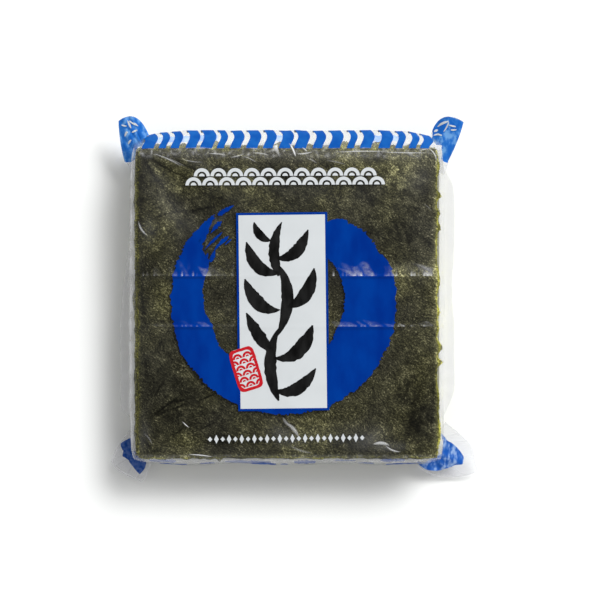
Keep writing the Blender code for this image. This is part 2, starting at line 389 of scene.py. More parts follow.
def ovals(x, y, patches):
    """Sum of soft ovals, each turned about its centre: amount times e to -(along² + across²)."""
    total = np.zeros(np.broadcast(x, y).shape)
    for centre_x, centre_y, long, wide, turn, amount in patches:
        cos, sin = math.cos(math.radians(turn)), math.sin(math.radians(turn))
        dx, dy = x - centre_x * MM, y - centre_y * MM
        total = total + amount * np.exp(-((dx * cos + dy * sin) / (long * MM)) ** 2
                                        - ((dy * cos - dx * sin) / (wide * MM)) ** 2)
    return total


print("the far slope ends at Y in mm:", round(float(film_at(0.0, HALF_Y + FAR_SLOPE)[1]) / MM, 1))

# %% [markdown]
# ## The clear film
# Polypropylene film: cast, clear and glossy, a few hundredths of a millimetre thick. It lets nearly all
# light through and mirrors a little, more at a low angle. That is a mix of a Transparent and a Glossy
# shader, by 1 - cos of the angle to the fifth power. Glass would need a wall and bend what lies behind.
# Where film stands off the sheets or is creased it looks milky, so each point carries a share of haze. The
# haze also paints the film's reflections and glints as milky white: painted reflection and painted
# highlights. The two film materials differ only in what the haze is mixed into.

# %% Film material
FILM_MIRROR = 0.045      # both faces of the film together, seen straight on


def hazed(tree, clear):
    """Ends a recipe of film: its points' haze mixes a milky shader into the clear one."""
    haze = add_node(tree, "Attribute", attribute_name="haze").outputs["Fac"]
    milky = add_node(tree, "BsdfDiffuse", {"Color": linear("f4f5f7")})
    surface(tree, add_node(tree, "MixShader", {"Fac": haze, 1: clear.outputs[0], 2: milky.outputs[0]}))


film_clear, tree = new_material("cast polypropylene film")
facing = add_node(tree, "LayerWeight", {"Blend": 0.5}).outputs["Facing"]
mirror = add_node(tree, "MapRange", {"Value": maths(tree, "POWER", facing, 5.0), "To Min": FILM_MIRROR,
                                     "To Max": 1.0}).outputs[0]
crinkle = noise(tree, add_node(tree, "TexCoord").outputs["Object"], 5 * MM)
bump = add_node(tree, "Bump", {"Height": crinkle, "Strength": 0.10, "Distance": 0.3 * MM})
through = add_node(tree, "BsdfTransparent", {"Color": linear("f9f9fa")})
gloss = add_node(tree, "BsdfAnisotropic", {"Color": (1, 1, 1, 1), "Roughness": 0.10,
                                           "Normal": bump.outputs[0]})
hazed(tree, add_node(tree, "MixShader", {"Fac": mirror, 1: through.outputs[0], 2: gloss.outputs[0]}))

# Milky film: the whitening of creased film, and painted glints where a pucker would mirror a light.
milky_film_and_glints, tree = new_material("film whitened by creasing, with painted glints")
hazed(tree, add_node(tree, "BsdfTransparent", {"Color": (1, 1, 1, 1)}))

# %% Haze and painted reflection over the film
REFLECTION_VEIL = 0.006
# Soft ovals of painted reflection, where the film would mirror a light as a broad pale sheen.
REFLECTION_PATCHES = (  # x, y, half length, half width in mm, turn in degrees, added haze
    (-82, 69, 17, 7, -62, 0.018), (-70, 56, 14, 7, -45, 0.014), (-84, 84, 14, 5, -40, 0.012),
    (84, 70, 34, 9, -75, 0.006), (84, 22, 14, 5, 0, 0.012), (60, 22, 30, 4, 0, 0.006),
    (35, -86, 30, 8, 0, 0.018), (-2, -86, 13, 6, -35, 0.030), (20, 76, 60, 9, 0, 0.006),
    (40, 95, 60, 4, 0, 0.020), (88, 84, 12, 10, 0, 0.016), (-60, 92, 12, 4, -25, 0.016),
    (-94, -86, 4, 12, 0, 0.020), (66, -93, 10, 3, 0, 0.040), (-55, -95, 40, 3, 0, 0.006),
    (54, -88, 9, 5, 30, 0.030), (-48, 53, 8, 3, 30, 0.025), (-90, 48, 5, 9, 0, 0.020),
)


def top_reflection_and_haze(x, y):
    """Haze of the film on the top sheet, most of it painted reflection: cloudy noise and soft ovals. It adds
    painted glints as flecks at the far and near edges, where the film bridges over to its end: a crest of
    noise, squared."""
    haze = REFLECTION_VEIL * (1 + 0.7 * soft_noise(x, y, 20 * MM, 21) + 0.4 * soft_noise(x, y, 6 * MM, 22))
    haze = haze * (0.4 + 0.6 * smooth_step(y / (60 * MM) + 1))
    haze = haze + ovals(x, y, REFLECTION_PATCHES) * (1 + 0.35 * soft_noise(x, y, 5 * MM, 23))
    glint_fleck = np.maximum(0, soft_noise(x, y, 1.8 * MM, 24)) ** 2
    net = np.maximum(0, 1 - 7 * np.abs(soft_noise(x, y * 1.6, 6 * MM, 25))) ** 2
    far_edge = smooth_step((y / MM - 93) / 5)
    near_edge = smooth_step((-y / MM - 97.5) / 2)
    haze = haze + far_edge * (0.03 + 0.26 * glint_fleck + 0.13 * net) + near_edge * (0.03 + 0.12 * glint_fleck)
    return np.clip(haze, 0, 1)


def wall_haze_and_light(u, v, fall):
    """Film that leans out is milkier, from its layers and as painted reflection: most just outside the
    stack's edge, little on the flat wings. The left side, over the shadow, is milky all the way down, which
    is painted light, with a painted highlight line along its fold."""
    left = (u < 0) & (np.abs(v) <= 0.999)
    # Painted light on the left side, in the shadow, and a painted highlight along its fold at a fall of 0.11.
    base = np.where(left, 0.08 + 0.15 * np.exp(-((fall - 0.11) / 0.02) ** 2), 0.02)
    steep = np.exp(-((fall - 0.14) / 0.16) ** 2) * smooth_step(fall / 0.1)
    peak = np.where(np.abs(v) > 0.999, np.where(v > 0, 0.10, 0.18), np.where(u > 0, 0.03, 0.14))
    cloud = 1 + 0.5 * soft_noise(u * HALF_X + v * HALF_Y, fall * 0.02, 5 * MM, 26)
    return (base + peak * steep) * cloud


# %% The film over the pack
COLUMNS, ROWS = 249, 254
RINGS = 26

share_y, share_x = two_ranges((-1, 1, ROWS), (-1, 1, COLUMNS))
top = film_wall(share_x, share_y, np.zeros_like(share_x))
top[..., 2] += film_lift(top[..., 0], top[..., 1])
number = np.arange(ROWS * COLUMNS).reshape(ROWS, COLUMNS)
rim = np.concatenate([number[0, :-1], number[:-1, -1], number[-1, :0:-1], number[:0:-1, 0]])
fall = np.linspace(-1, 1, RINGS + 1)[1:]
fall = 0.5 + 0.5 * np.sign(fall) * np.abs(fall) ** 1.5      # rings lie closer at mid-height
rim_u, rim_v = share_x.ravel()[rim], share_y.ravel()[rim]
walls = film_wall(rim_u[None, :], rim_v[None, :], fall[:, None])
walls[-1, :, 2] = 0
points = np.concatenate([top.reshape(-1, 3), walls.reshape(-1, 3)])
ring_numbers = np.vstack([rim, ROWS * COLUMNS + np.arange(RINGS * len(rim)).reshape(RINGS, -1)])
upper, lower = ring_numbers[:-1], ring_numbers[1:]
wall_faces = np.stack([upper, lower, np.roll(lower, -1, 1), np.roll(upper, -1, 1)], axis=-1).reshape(-1, 4)
faces = np.concatenate([grid_faces(ROWS, COLUMNS), wall_faces]).tolist()
faces.append(ring_numbers[-1][::-1].tolist())
haze = np.concatenate([top_reflection_and_haze(top[..., 0], top[..., 1]).ravel(),
                       wall_haze_and_light(rim_u[None, :], rim_v[None, :], fall[:, None]).ravel()])
film = mesh_object("film", points, faces, film_clear, "clear_film", {"haze": haze})
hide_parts("nori_pack")

# %% [markdown]
# Film that is drawn tight puckers, mostly from the corners inwards and along the stack's edges. A pucker is
# narrower than the film's own grid, so each is a ribbon of film with a low crest. A steep crest would mirror
# the key light as a hard white scratch, so each pucker's glint is painted into its haze instead: a painted
# highlight, beside the milky whitening of creased film. A list names where each starts and ends, in
# millimetres, its half width, sideways bow and haze. Spindles are pointed at both ends, and wedges widen
# towards their end. Over each crease of the sheets lies a strip of puckered film, with painted glints in
# slanted patches that are full at the crease and fade above it.

# %% Wrinkles of the film
# The haze of each pucker is a painted highlight as well as the film's whitening.
SPINDLES = (  # from x, y, to x, y, half width, bow, haze
    (-87.5, 97.5, -69, 89.0, 0.55, 0.8, 0.20), (-80, 95.5, -66, 88.5, 0.45, 0.4, 0.08),
    (-70, 94.5, -55, 92, 0.45, -0.8, 0.12),
    (-97.2, 54, -90.9, 44, 0.8, -1.4, 0.20), (-68.8, -76.6, -64.2, -80.7, 0.40, 0.0, 0.42),
    (-65, -97.9, -48.8, -99.6, 0.50, 0.3, 0.40), (55, -91.5, 66, -92.2, 1.3, 1.3, 0.30),
    (63, -91.8, 73.5, -96.2, 0.7, -1.3, 0.26), (-1, -77.5, 7.0, -87.0, 1.5, 1.0, 0.20),
    (-3.4, -73.5, 2, -80, 1.2, -0.8, 0.10), (1, -92, 16, -97, 0.9, -1.0, 0.07),
    (30, 98.4, 64, 98.9, 0.50, 0.4, 0.30), (60, 98.7, 92, 98.1, 0.50, -0.3, 0.26),
    (0.6, 104.5, 4.9, 95.4, 0.65, 0.6, 0.75), (5.2, 97.5, 16, 98.8, 0.6, -0.6, 0.34),
    (9, 101.5, 12.5, 98.6, 0.6, 0.3, 0.40), (12, 94.5, 19, 91, 0.5, 0.5, 0.12),
    (90.5, 101.5, 96.6, 92.0, 0.45, 1.6, 0.40), (86, 99.5, 91.5, 100.4, 0.5, 0.4, 0.30),
    (88, 65, 93.5, 60, 0.4, 0.4, 0.06), (24.5, 93, 38, 90, 0.6, 0.6, 0.08),
    (-30, 96, -20, 91.5, 0.5, 0.5, 0.14), (-52, 97.5, -40, 96.5, 0.6, 0.4, 0.22),
    (-38, 95, -28, 97.6, 0.5, -0.4, 0.20), (-24, 98, -12, 96.4, 0.6, 0.5, 0.20),
    (-94, -84, -88, -92, 0.6, 0.8, 0.06),
)
WEDGES = (  # the same, from the point to the wide end
    (-4.6, 94.6, -8.5, 103.4, 2.0, 0.4, 0.42), (-16, 97.5, -7, 100.5, 1.4, 0.3, 0.16),
    (76, 27, 95, 21, 2.2, 0.8, 0.05), (30, 24, 42, 19.5, 1.6, 0.0, 0.05),
)
STEPS = 22
RIBBON_WALL = 0.02 * MM
CREST = 0.16             # height of a ribbon's crest as a share of its half width
STRIPS = ((-95.0, LABEL_LEFT - 2), (LABEL_RIGHT + 2, 95.0))     # over each crease, beside the label
STRIP_HIGH = (12.0, 5.0)                                        # mm, over the far and the near crease
# The strength of the painted glints along each crease strip.
STRIP_SHARE = ((-95, -73, -68, -50, -46, -34, 28, 38, 66, 70, 90, 95),
               (0.02, 0.02, 0.10, 0.10, 0.03, 0.03, 0.10, 0.12, 0.12, 0.20, 0.20, 0.04))  # x in mm, haze


def bowed(x0, y0, x1, y1, bow, steps=STEPS):
    """Places in metres along a line that bows sideways by 4t(1 - t) times bow, all given in mm."""
    t = np.linspace(0, 1, steps)
    run_x, run_y = x1 - x0, y1 - y0
    length = math.hypot(run_x, run_y)
    arch = 4 * t * (1 - t) * bow / length
    return (x0 + run_x * t - run_y * arch) * MM, (y0 + run_y * t + run_x * arch) * MM


def ribbon(centre, half, swell, crest=CREST, across=7):
    """A strip along points (n x 3): its width is half times the swell at each point, and it is raised
    by crest times its width times (1 - |s|)^1.5, for s from -1 to 1 across it."""
    heading = np.gradient(centre[:, :2], axis=0)
    heading = heading / np.maximum(np.linalg.norm(heading, axis=1, keepdims=True), 1e-12)
    s = np.linspace(-1, 1, across)[None, :]
    wide = half * np.maximum(swell, 0.04)[:, None]
    grid = np.repeat(centre[:, None, :], across, axis=1)
    grid[..., 0] -= heading[:, 1:] * wide * s
    grid[..., 1] += heading[:, :1] * wide * s
    grid[..., 2] += crest * wide * (1 - np.abs(s)) ** 1.5
    return outward(grid)


WAY = np.linspace(0, 1, STEPS)
ACROSS = np.abs(np.linspace(-1, 1, 7))
SPINDLE = np.sin(np.pi * WAY) ** 0.6
WEDGE = WAY ** 0.8
SPINDLE_HAZE = SPINDLE[:, None] * (1 - ACROSS ** 1.5)
WEDGE_HAZE = (WAY ** 1.3 * np.minimum(1, (1 - WAY) / 0.1))[:, None] * (1 - ACROSS ** 3)
wrinkle_grids, wrinkle_haze = [], []


def pucker(x0, y0, x1, y1, half, bow, amount, swell=SPINDLE, spread=SPINDLE_HAZE, rise=0.09):
    """Adds one ribbon over the film from place to place, with its haze spread over it."""
    centre = film_at(*bowed(x0, y0, x1, y1, bow)) + (0, 0, rise * MM)
    wrinkle_grids.append(ribbon(centre, half * MM, swell))
    wrinkle_haze.append((amount * spread).ravel())


def crease_glints_and_haze(x, up, seed):
    """Haze of a strip, up from 0 at the crease to 1: painted glints. A patch is a crest of noise along x plus
    a share of up, so it slants. It fades at a height of its own, is grainy, and has painted glints as bright
    flecks at its foot."""
    slant = x + 7 * MM * up
    patch = np.clip(1.9 * soft_noise(slant, 0, 2.8 * MM, seed), 0, 1)
    top = 0.62 + 0.38 * soft_noise(slant, 9, 7 * MM, seed)
    fade = np.clip(1 - up / top, 0, 1) ** 0.5
    grain = 0.8 + 0.7 * soft_noise(slant, up * 12 * MM, 1.3 * MM, seed + 1)
    glint_fleck = np.exp(-up / 0.12) * np.maximum(0, soft_noise(x, up * 3 * MM, 1.2 * MM, seed + 2)) ** 2
    return np.interp(x / MM, *STRIP_SHARE) * (patch * fade * grain + 4 * glint_fleck)


for line in SPINDLES:
    pucker(*line)
for line in WEDGES:
    pucker(*line, WEDGE, WEDGE_HAZE)
for line, high, seed in zip(CREASES_Y, STRIP_HIGH, (27, 57)):
    for left, right in STRIPS:
        x, up = np.meshgrid(np.arange(left, right, 0.55) * MM, np.linspace(0, 1, 22))
        wrinkle_grids.append(film_at(x, line + (0.3 + high * up) * MM) + (0, 0, 0.10 * MM))
        wrinkle_haze.append(np.clip(crease_glints_and_haze(x, up, seed) * (1 if line > 0 else 0.4), 0, 1).ravel())
plate("film_wrinkles", wrinkle_grids, RIBBON_WALL, milky_film_and_glints, "clear_film",
      {"haze": np.concatenate(wrinkle_haze)})

# %% [markdown]
# ## The nori
# Nori is seaweed, chopped, spread on a mat and dried, then roasted. Up close it is a felt of tiny
# flakes: near black with olive and beige flecks, which lie across each other at a slant. The flecks
# here are stretched noise in two directions and a finer one between, over soft clouds of 7 and 30 mm.
# The real flecks are finer still, but would not show at this distance. Each point carries a lightness beside
# its share of thin olive edge. The lightness is partly the sheet's own tone, darker where it is thick, and
# partly painted light and shade: painted shade in its dents and rumples, painted highlights on its ridges,
# and painted light on the side that faces the key light. Faces and cut edges share the material: only these
# two shares tell them apart.

# %% Nori material
FLECK = 0.88 * MM
CLOUD = 7 * MM
PATCH = 30 * MM


DARK_TO_LIGHT = ((0.0, "0c0c07"), (0.17, "1f1e16"), (0.3, "2a291f"), (0.5, "38372a"), (0.7, "4d4b3b"),
                 (0.85, "6b6853"), (1.0, "a09c80"))
OLIVE = ((0.0, "0a0a02"), (0.3, "26260b"), (0.5, "393810"), (0.7, "525118"), (1.0, "8d8b3a"))
FLECKS = ((-38, 2.2, 1.0, 0.9), (47, 1.5, 0.8, 0.8), (5, 1.2, 0.55, 0.7))  # turn, stretch, size, weight

nori, tree = new_material("roasted nori")
place = add_node(tree, "TexCoord").outputs["Object"]
drift = noise(tree, place, 18 * MM, 1.0, output="Color")
shift = maths(tree, "MULTIPLY", drift, (8 * MM, 8 * MM, 0), kind="VectorMath")
bent = maths(tree, "ADD", place, shift, kind="VectorMath")
total = 0.0
for turn, stretch, size, weight in FLECKS:
    turned = add_node(tree, "Mapping", {"Vector": bent, "Rotation": (0, 0, math.radians(-turn))})
    scaled = maths(tree, "MULTIPLY", turned.outputs[0], (1 / stretch, 1.0, 1.0), kind="VectorMath")
    total = maths(tree, "MULTIPLY_ADD", noise(tree, scaled, size * FLECK, roughness=0.6), weight, total)
patch = noise(tree, place, PATCH, 1.0)
clouds = maths(tree, "ADD", noise(tree, place, CLOUD), patch)
weighed = maths(tree, "MULTIPLY_ADD", clouds, 0.40, total)
tone = add_node(tree, "MapRange", {"Value": weighed, "From Min": 1.28, "From Max": 1.92}).outputs[0]
felt, olive = (add_node(tree, "ValToRGB", {"Fac": tone}, stops=stops).outputs["Color"]
               for stops in (DARK_TO_LIGHT, OLIVE))
thin = add_node(tree, "Attribute", attribute_name="thin").outputs["Fac"]
green = add_node(tree, "MapRange", {"Value": patch, "From Min": 0.35, "From Max": 0.7, "To Max": 0.35})
share = maths(tree, "MAXIMUM", thin, green.outputs[0])
mixed = add_node(tree, "Mix", {"Factor": share, 6: felt, 7: olive}, data_type="RGBA").outputs[2]
# The lightness multiplies the colour: partly the nori's own tone, partly painted light and shade.
light = add_node(tree, "Attribute", attribute_name="light").outputs["Fac"]
colour = maths(tree, "MULTIPLY", mixed, light, kind="VectorMath")
rough = add_node(tree, "MapRange", {"Value": tone, "To Min": 0.45, "To Max": 0.65}).outputs[0]
bump = add_node(tree, "Bump", {"Height": weighed, "Strength": 0.7, "Distance": 0.25 * MM}).outputs[0]
surface(tree, add_node(tree, "BsdfPrincipled", {"Base Color": colour, "Roughness": rough, "Normal": bump,
                                                "Specular IOR Level": 0.03}))
print("noises of", FLECK / MM, CLOUD / MM, "and", PATCH / MM, "mm,", len(tree.nodes), "nodes")

# %% [markdown]
# The top sheet is one fine grid, wavy like any dried sheet, ragged at its edge, with narrow dents and ridges.
# A dent is a groove in the height, and painted shade darkens it too, because the fine grid alone would show
# its shading as too faint. A ridge is painted lighter, as a painted highlight. The edge stands out in lumps,
# as torn seaweed does.

# %% The top sheet
SHEET_WALL = 0.30 * MM
NORI_UNDER = 0.85 * MM   # the top sheet's face lies this far under the smooth film
SHEET_COLUMNS, SHEET_ROWS = 219, 226
LEFT_X, RIGHT_X = -97.4 * MM, 96.9 * MM
NEAR_Y, FAR_Y = -100.1 * MM, 100.6 * MM
LIMIT_LEFT, LIMIT_RIGHT, LIMIT_NEAR = -98.9 * MM, 99.0 * MM, -101.2 * MM     # lumps stay within the film
DENT_DEPTH = 0.35 * MM
# Each line is a groove in the sheet and painted shade in its colour. With a depth below 0 it is a ridge with
# a painted highlight.
DENTS_AND_SHADE = (  # from x, y, to x, y, half width and bow in mm, depth as a share, less than 0 for a ridge
    (-91, -75.5, -66, -57, 0.75, 0.3, 0.97), (-87, -73, -62, -64, 0.60, 0.3, 0.95),
    (-82, -66, -58, -60.5, 0.70, 0.3, 0.90), (-60.5, -64.5, -44, -57.5, 0.70, 0.3, 0.95),
    (-59.5, -83, -46.5, -77, 0.70, 0.2, 0.95), (-87, -61, -81, -51, 0.65, 0.3, 0.85),
    (-93, -35, -91.5, -48, 0.8, 0.3, 0.75), (-76, -86.5, -65, -79.5, 0.65, 0.3, 0.80),
    (-88, -33, -80.5, -39, 1.2, 0.5, -1.60), (-80, -43, -60, -51, 1.3, 0.8, -1.00),
    (-89, -78, -64, -61.5, 0.7, 0.3, -1.00), (-95.5, -88, -88, -98, 1.2, 0.8, 0.60),
    (-96.5, 99, -84, 72, 1.2, 1.2, 0.85), (-96.5, 99.5, -62, 80, 0.9, -1.5, 0.85),
    (-84, 97, -50, 84, 0.8, -0.8, 0.75), (-95, 97, -70, 70, 0.9, -0.6, -0.90),
    (-92, 97.5, -58, 86, 0.8, -1.0, -0.80), (-90, 84, -78, 56, 1.0, 1.2, -0.70),
    (-86, 82, -72, 58, 0.8, 1, 0.5), (-90, 54, -62, 60, 0.8, 2, 0.75), (-62, 60, -45, 63, 1.1, 0.6, 0.8),
    (-93, 42, -80, 51, 0.8, 1, 0.65), (-62, 76, -44, 64, 1.2, 0.6, 0.6), (-50, 70, -36, 66, 0.9, 0.4, 0.55),
    (84, -52, 73, -98, 2.2, 2, 0.6), (88, -60, 80, -92, 1.6, 1, 0.5), (79, -50, 74, -64, 1, 0.5, 0.6),
    (95, -40, 92, -98, 0.8, 0.4, 0.55), (44, 84, 60, 50, 1.8, 1.2, 0.5), (50, 60, 58, 42, 1.2, 0.6, 0.5),
    (66, 58, 74, 40, 1.4, 0.8, 0.65), (73, 55, 80, 33, 1.2, 0.6, 0.55), (86, 44, 95, 36, 1, 0.5, 0.55),
    (64, 90, 92, 78, 0.8, 0.8, -0.8), (60, 82, 84, 72, 0.7, 0.6, -0.6), (74, 66, 92, 60, 0.8, 0.4, -0.7),
    (30, -78, 44, -98, 1.5, 0.6, 0.35), (-97, 20, -93, -16, 1.5, 0.6, 0.4),
)
# Lighter and darker patches of the top sheet: partly its own tone, and partly painted light and shade. There
# is painted light above the far crease and along the far edge, and painted shade down the left edge, away
# from the key light.
LIGHT_PATCHES = (  # x, y, half length, half width in mm, turn in degrees, added lightness
    (10, 99, 100, 7, 0, 0.55), (82, 86, 26, 12, 0, 0.50), (92, 56, 8, 26, 0, 0.40),
    (60, 74, 34, 16, 0, 0.25), (84, 56, 16, 24, 0, 0.25), (72, 44, 10, 12, 0, -0.25),
    (80, 22, 26, 5, 0, 1.40), (-80, 68, 18, 9, -62, 0.45), (-46, 63, 14, 9, 15, -0.40),
    (-97, 60, 3.5, 42, 0, -0.60), (-97, 0, 9, 75, 0, -0.15), (-70, -66, 32, 24, 30, -0.20),
    (84, -72, 30, 13, 75, -0.38), (52, -84, 14, 6, 0, 0.40), (0, -84, 20, 6, 0, 0.10),
)
# How strong the painted light and shade of a rumpled sheet is, by place.
RUMPLE_LIGHT_AND_SHADE = (  # the same, for how much the sheet is rumpled
    (-72, 72, 34, 30, 0, 0.35), (10, 80, 60, 16, 0, 0.25), (72, 68, 40, 32, 0, 0.40),
    (-68, -66, 34, 26, 0, 0.25), (84, -72, 16, 30, 0, 0.35), (0, -90, 80, 10, 0, 0.15),
)


def dent_share(x, y, x0, y0, x1, y1, half, bow):
    """A groove along a bowed line: e to -(across/half)², times the sine of pi times the way along."""
    run_x, run_y = (x1 - x0) * MM, (y1 - y0) * MM
    length = math.hypot(run_x, run_y)
    along = ((x - x0 * MM) * run_x + (y - y0 * MM) * run_y) / length ** 2
    across = ((y - y0 * MM) * run_x - (x - x0 * MM) * run_y) / length
    across = across - 4 * bow * MM * along * (1 - along)
    ragged_half = half * MM * (1 + 0.5 * soft_noise(along * 30, half, 1.0, 35))
    return np.exp(-(across / ragged_half) ** 2) * np.sin(np.pi * np.clip(along, 0, 1)) ** 0.6


def rumple_light_and_shade(x, y):
    """Painted light and shade of a rumpled sheet, about -1 to 1: noise of 5 mm, and streaks down to the
    right.
    """
    along, across = 0.77 * x - 0.64 * y, 0.64 * x + 0.77 * y
    return soft_noise(x, y, 5 * MM, 37) + 1.2 * soft_noise(along * 0.45, across, 2 * MM, 38)


def nori_height(x, y):
    """Height of the top sheet's face: under the film, with waves of 22, 9 and 3.5 mm."""
    waves = (0.28 * soft_noise(x, y, 22 * MM, 31) + 0.14 * soft_noise(x, y, 9 * MM, 32)
             + 0.07 * soft_noise(x, y, 3.5 * MM, 36))
    return film_base(x, y) - NORI_UNDER + waves * MM


RIGHT_LUMPS = (  # a lump of an edge: its place along the side, how far it stands out, its half length
    (90, 2.1, 6.5), (70.6, 3.0, 2.4), (58.9, 2.2, 2.8), (49.8, 2.6, 4.0), (15.4, 2.3, 7.0), (-5.4, 2.2, 3.6),
    (-15.7, 1.8, 3.2), (-28.7, 3.7, 4.0), (-38.5, 3.9, 2.4), (-62.5, 1.7, 9.0), (-84, 2.7, 12),
)
LEFT_LUMPS = (
    (80, 0.9, 5), (66, 1.4, 5), (52, 1.2, 4), (40, 0.9, 3), (26, 0.8, 4), (14, 0.7, 3), (2, 2.3, 6),
    (-9, 1, 2), (-18, 0.9, 3), (-34, 1, 4), (-48, 1.3, 5), (-62, 0.8, 3), (-74, 0.8, 3), (-84, 1.1, 4),
)
NEAR_LUMPS = (
    (-92, 1.6, 3), (-82, 1.9, 4), (-66, 1.6, 3), (-58, 1, 2), (-51, 1.4, 3), (-44.5, 2.6, 1.6),
    (-30, 0.9, 4), (-16, 1, 3), (2, 0.8, 3), (20, 0.9, 4), (40, 1, 5), (54, 1.1, 3), (66, 1.8, 5),
    (78, 1.2, 3), (88, 1.5, 4),
)
FAR_LUMPS = (
    (-85, 3.0, 6), (-68, 3.0, 4), (-49, 5.4, 6), (-24, 3.0, 6), (-4, 4.4, 6), (14, 3.0, 5), (38, 4.4, 7),
    (62, 5.4, 7), (84, 3.0, 6),
)


def ragged(place, side, seed):
    """How far a torn edge strays at a place along it: slow, medium and fine noise added up."""
    return MM * (0.55 * soft_noise(place, side, 25 * MM, seed) + 0.45 * soft_noise(place, side, 4 * MM, seed)
                 + 0.35 * soft_noise(place, side, 1.1 * MM, seed))


def lumps(place, table):
    """How far a side stands out at a place along it: the sum of its lumps, each a bell curve."""
    return sum(out * MM * np.exp(-((place / MM - middle) / half) ** 2) for middle, out, half in table)


along, across = two_ranges((-1, 1, SHEET_ROWS), (-1, 1, SHEET_COLUMNS))
x = LEFT_X + (RIGHT_X - LEFT_X) * (across + 1) / 2
y = NEAR_Y + (FAR_Y - NEAR_Y) * (along + 1) / 2
side_out = np.where(across > 0, 0.55 * lumps(y, RIGHT_LUMPS), 0.8 * lumps(y, LEFT_LUMPS))
end_out = np.where(along > 0, 0, 0.45 * lumps(x, NEAR_LUMPS))
x, y = (x + across ** 39 * np.abs(across) * (ragged(y, across, 33) + side_out),
        y + along ** 39 * np.abs(along) * (ragged(x, along, 34) + end_out))
x, y = np.clip(x, LIMIT_LEFT, LIMIT_RIGHT), np.maximum(y, LIMIT_NEAR)
dents_and_shade = [depth * dent_share(x, y, *line, half, bow) for *line, half, bow, depth in DENTS_AND_SHADE]
sheet = np.stack([x, y, nori_height(x, y) - DENT_DEPTH * sum(dents_and_shade)], axis=-1)
thin = np.maximum(np.abs(across), np.abs(along)) ** 90
# The rim is lighter, as thin olive nori is, and lightest at the right, which faces the key light: partly
# painted light.
rim_light = np.where(np.abs(across) > np.abs(along), np.where(across > 0, 3.6, 2.2),
                     np.where(along > 0, 0.6, 1.6))
# The lightness holds painted light and shade: the patches, painted shade in the dents and painted highlights
# on the ridges, the rumples' painted light and shade, and the lighter rim.
light = (0.85 + ovals(x, y, LIGHT_PATCHES)) * np.prod([1 - share for share in dents_and_shade], axis=0)
light = light * np.exp((0.10 + ovals(x, y, RUMPLE_LIGHT_AND_SHADE)) * rumple_light_and_shade(x, y)) * (1 + rim_light * thin)
plate("top_sheet", [sheet], SHEET_WALL, nori, "roasted_nori",
      {"thin": thin, "light": np.clip(light, 0.05, 5)})

# %% [markdown]
# The sheets under it only show at the sides, through the film: at the right as a bright olive fringe,
# at the far end as a milky one. Each is a thin slab that lies a little off its neighbours, with a ragged
# outline in the same lumps, past the top sheet's edge.

# %% The sheets under it
SHEETS = 48
SIDE_POINTS = 250
STACK_LOW = 0.5 * MM
STACK_RIGHT, STACK_LEFT = 96.2 * MM, 99.4 * MM       # how far out each side lies between its lumps
STACK_FAR, STACK_NEAR = 101.4 * MM, 100.0 * MM

rng = np.random.default_rng(7)
turn = np.linspace(0, 4, 4 * SIDE_POINTS, endpoint=False)
side = np.floor(turn).astype(int)
step = 2 * (turn - side) - 1
ones = np.ones_like(step)
unit_x, unit_y = np.choose(side, [step, ones, -step, -ones]), np.choose(side, [-ones, step, ones, -step])
level = np.linspace(0, 1, SHEETS)[:, None]
sheet_number = np.arange(SHEETS)[:, None] * 50.0
reach = np.clip(0.8 + 0.35 * soft_noise(turn[None, :] * 60, sheet_number, 1.0, 44), 0, 1) * (1 - level ** 12)
right_out, left_out = (lumps(unit_y * HALF_Y, table) * reach for table in (RIGHT_LUMPS, LEFT_LUMPS))
far_out, near_out = (lumps(unit_x * HALF_X, table) * reach for table in (FAR_LUMPS, NEAR_LUMPS))
stray = rng.normal(0, 0.25, (SHEETS, 2)) * MM
half_x = np.where(unit_x > 0, STACK_RIGHT + 1.2 * right_out, STACK_LEFT + left_out)
half_y = np.where(unit_y > 0, STACK_FAR + far_out, STACK_NEAR + near_out)
round_off = 1.1 * MM * np.abs(unit_x * unit_y) ** 24
edge_x = 0.6 * ragged(unit_y * HALF_Y + sheet_number, unit_x, 41) * np.abs(unit_x) ** 30
edge_y = ragged(unit_x * HALF_X + sheet_number, unit_y, 42) * np.abs(unit_y) ** 30
outline_x = unit_x * (half_x - round_off) + edge_x + stray[:, :1]
outline_y = unit_y * (half_y - round_off) + edge_y + stray[:, 1:]
rim_z = film_base(unit_x * HALF_X, unit_y * HALF_Y) - NORI_UNDER - 0.2 * MM
middle_z = STACK_LOW + (rim_z - SHEET_WALL - STACK_LOW) * level
middle_z = middle_z + 0.10 * MM * soft_noise(turn[None, :] * 30, sheet_number, 1.0, 43)
rings = np.stack([np.stack([outline_x, outline_y, middle_z + half_wall], axis=-1)
                  for half_wall in (-SHEET_WALL / 2, SHEET_WALL / 2)], axis=1)
count = len(turn)
low_ring = np.arange(SHEETS)[:, None] * 2 * count + np.arange(count)[None, :]
high_ring = low_ring + count
side_faces = np.stack([low_ring, np.roll(low_ring, -1, 1), np.roll(high_ring, -1, 1), high_ring], axis=-1)
faces = side_faces.reshape(-1, 4).tolist() + high_ring.tolist() + low_ring[:, ::-1].tolist()
thin = np.repeat(rng.uniform(0.5, 1.0, (SHEETS, 1)), 2 * count, axis=1)
# Lightness of each side of the stack: the olive of thin edges, and partly painted light, highest at the
# right, which faces the key light.
side_light = np.where(unit_x >= 1, 5.0, np.where(unit_y >= 1, 3.6, np.where(unit_x <= -1, 2.6, 3.0)))
light = rng.uniform(0.7, 1.4, (SHEETS, 1)) * np.tile(side_light, 2)
stack = mesh_object("nori_stack", rings, faces, nori, "roasted_nori", {"thin": thin, "light": light})
stack.data.shade_flat()

# %% [markdown]
# Roasted nori sheds. Flakes hang at its edges and lie in the fold of the film. Each crumb is a small
# eight-sided flake with a random size, turn and place along the stack's sides, as far out as the lumps
# of the sheets there.

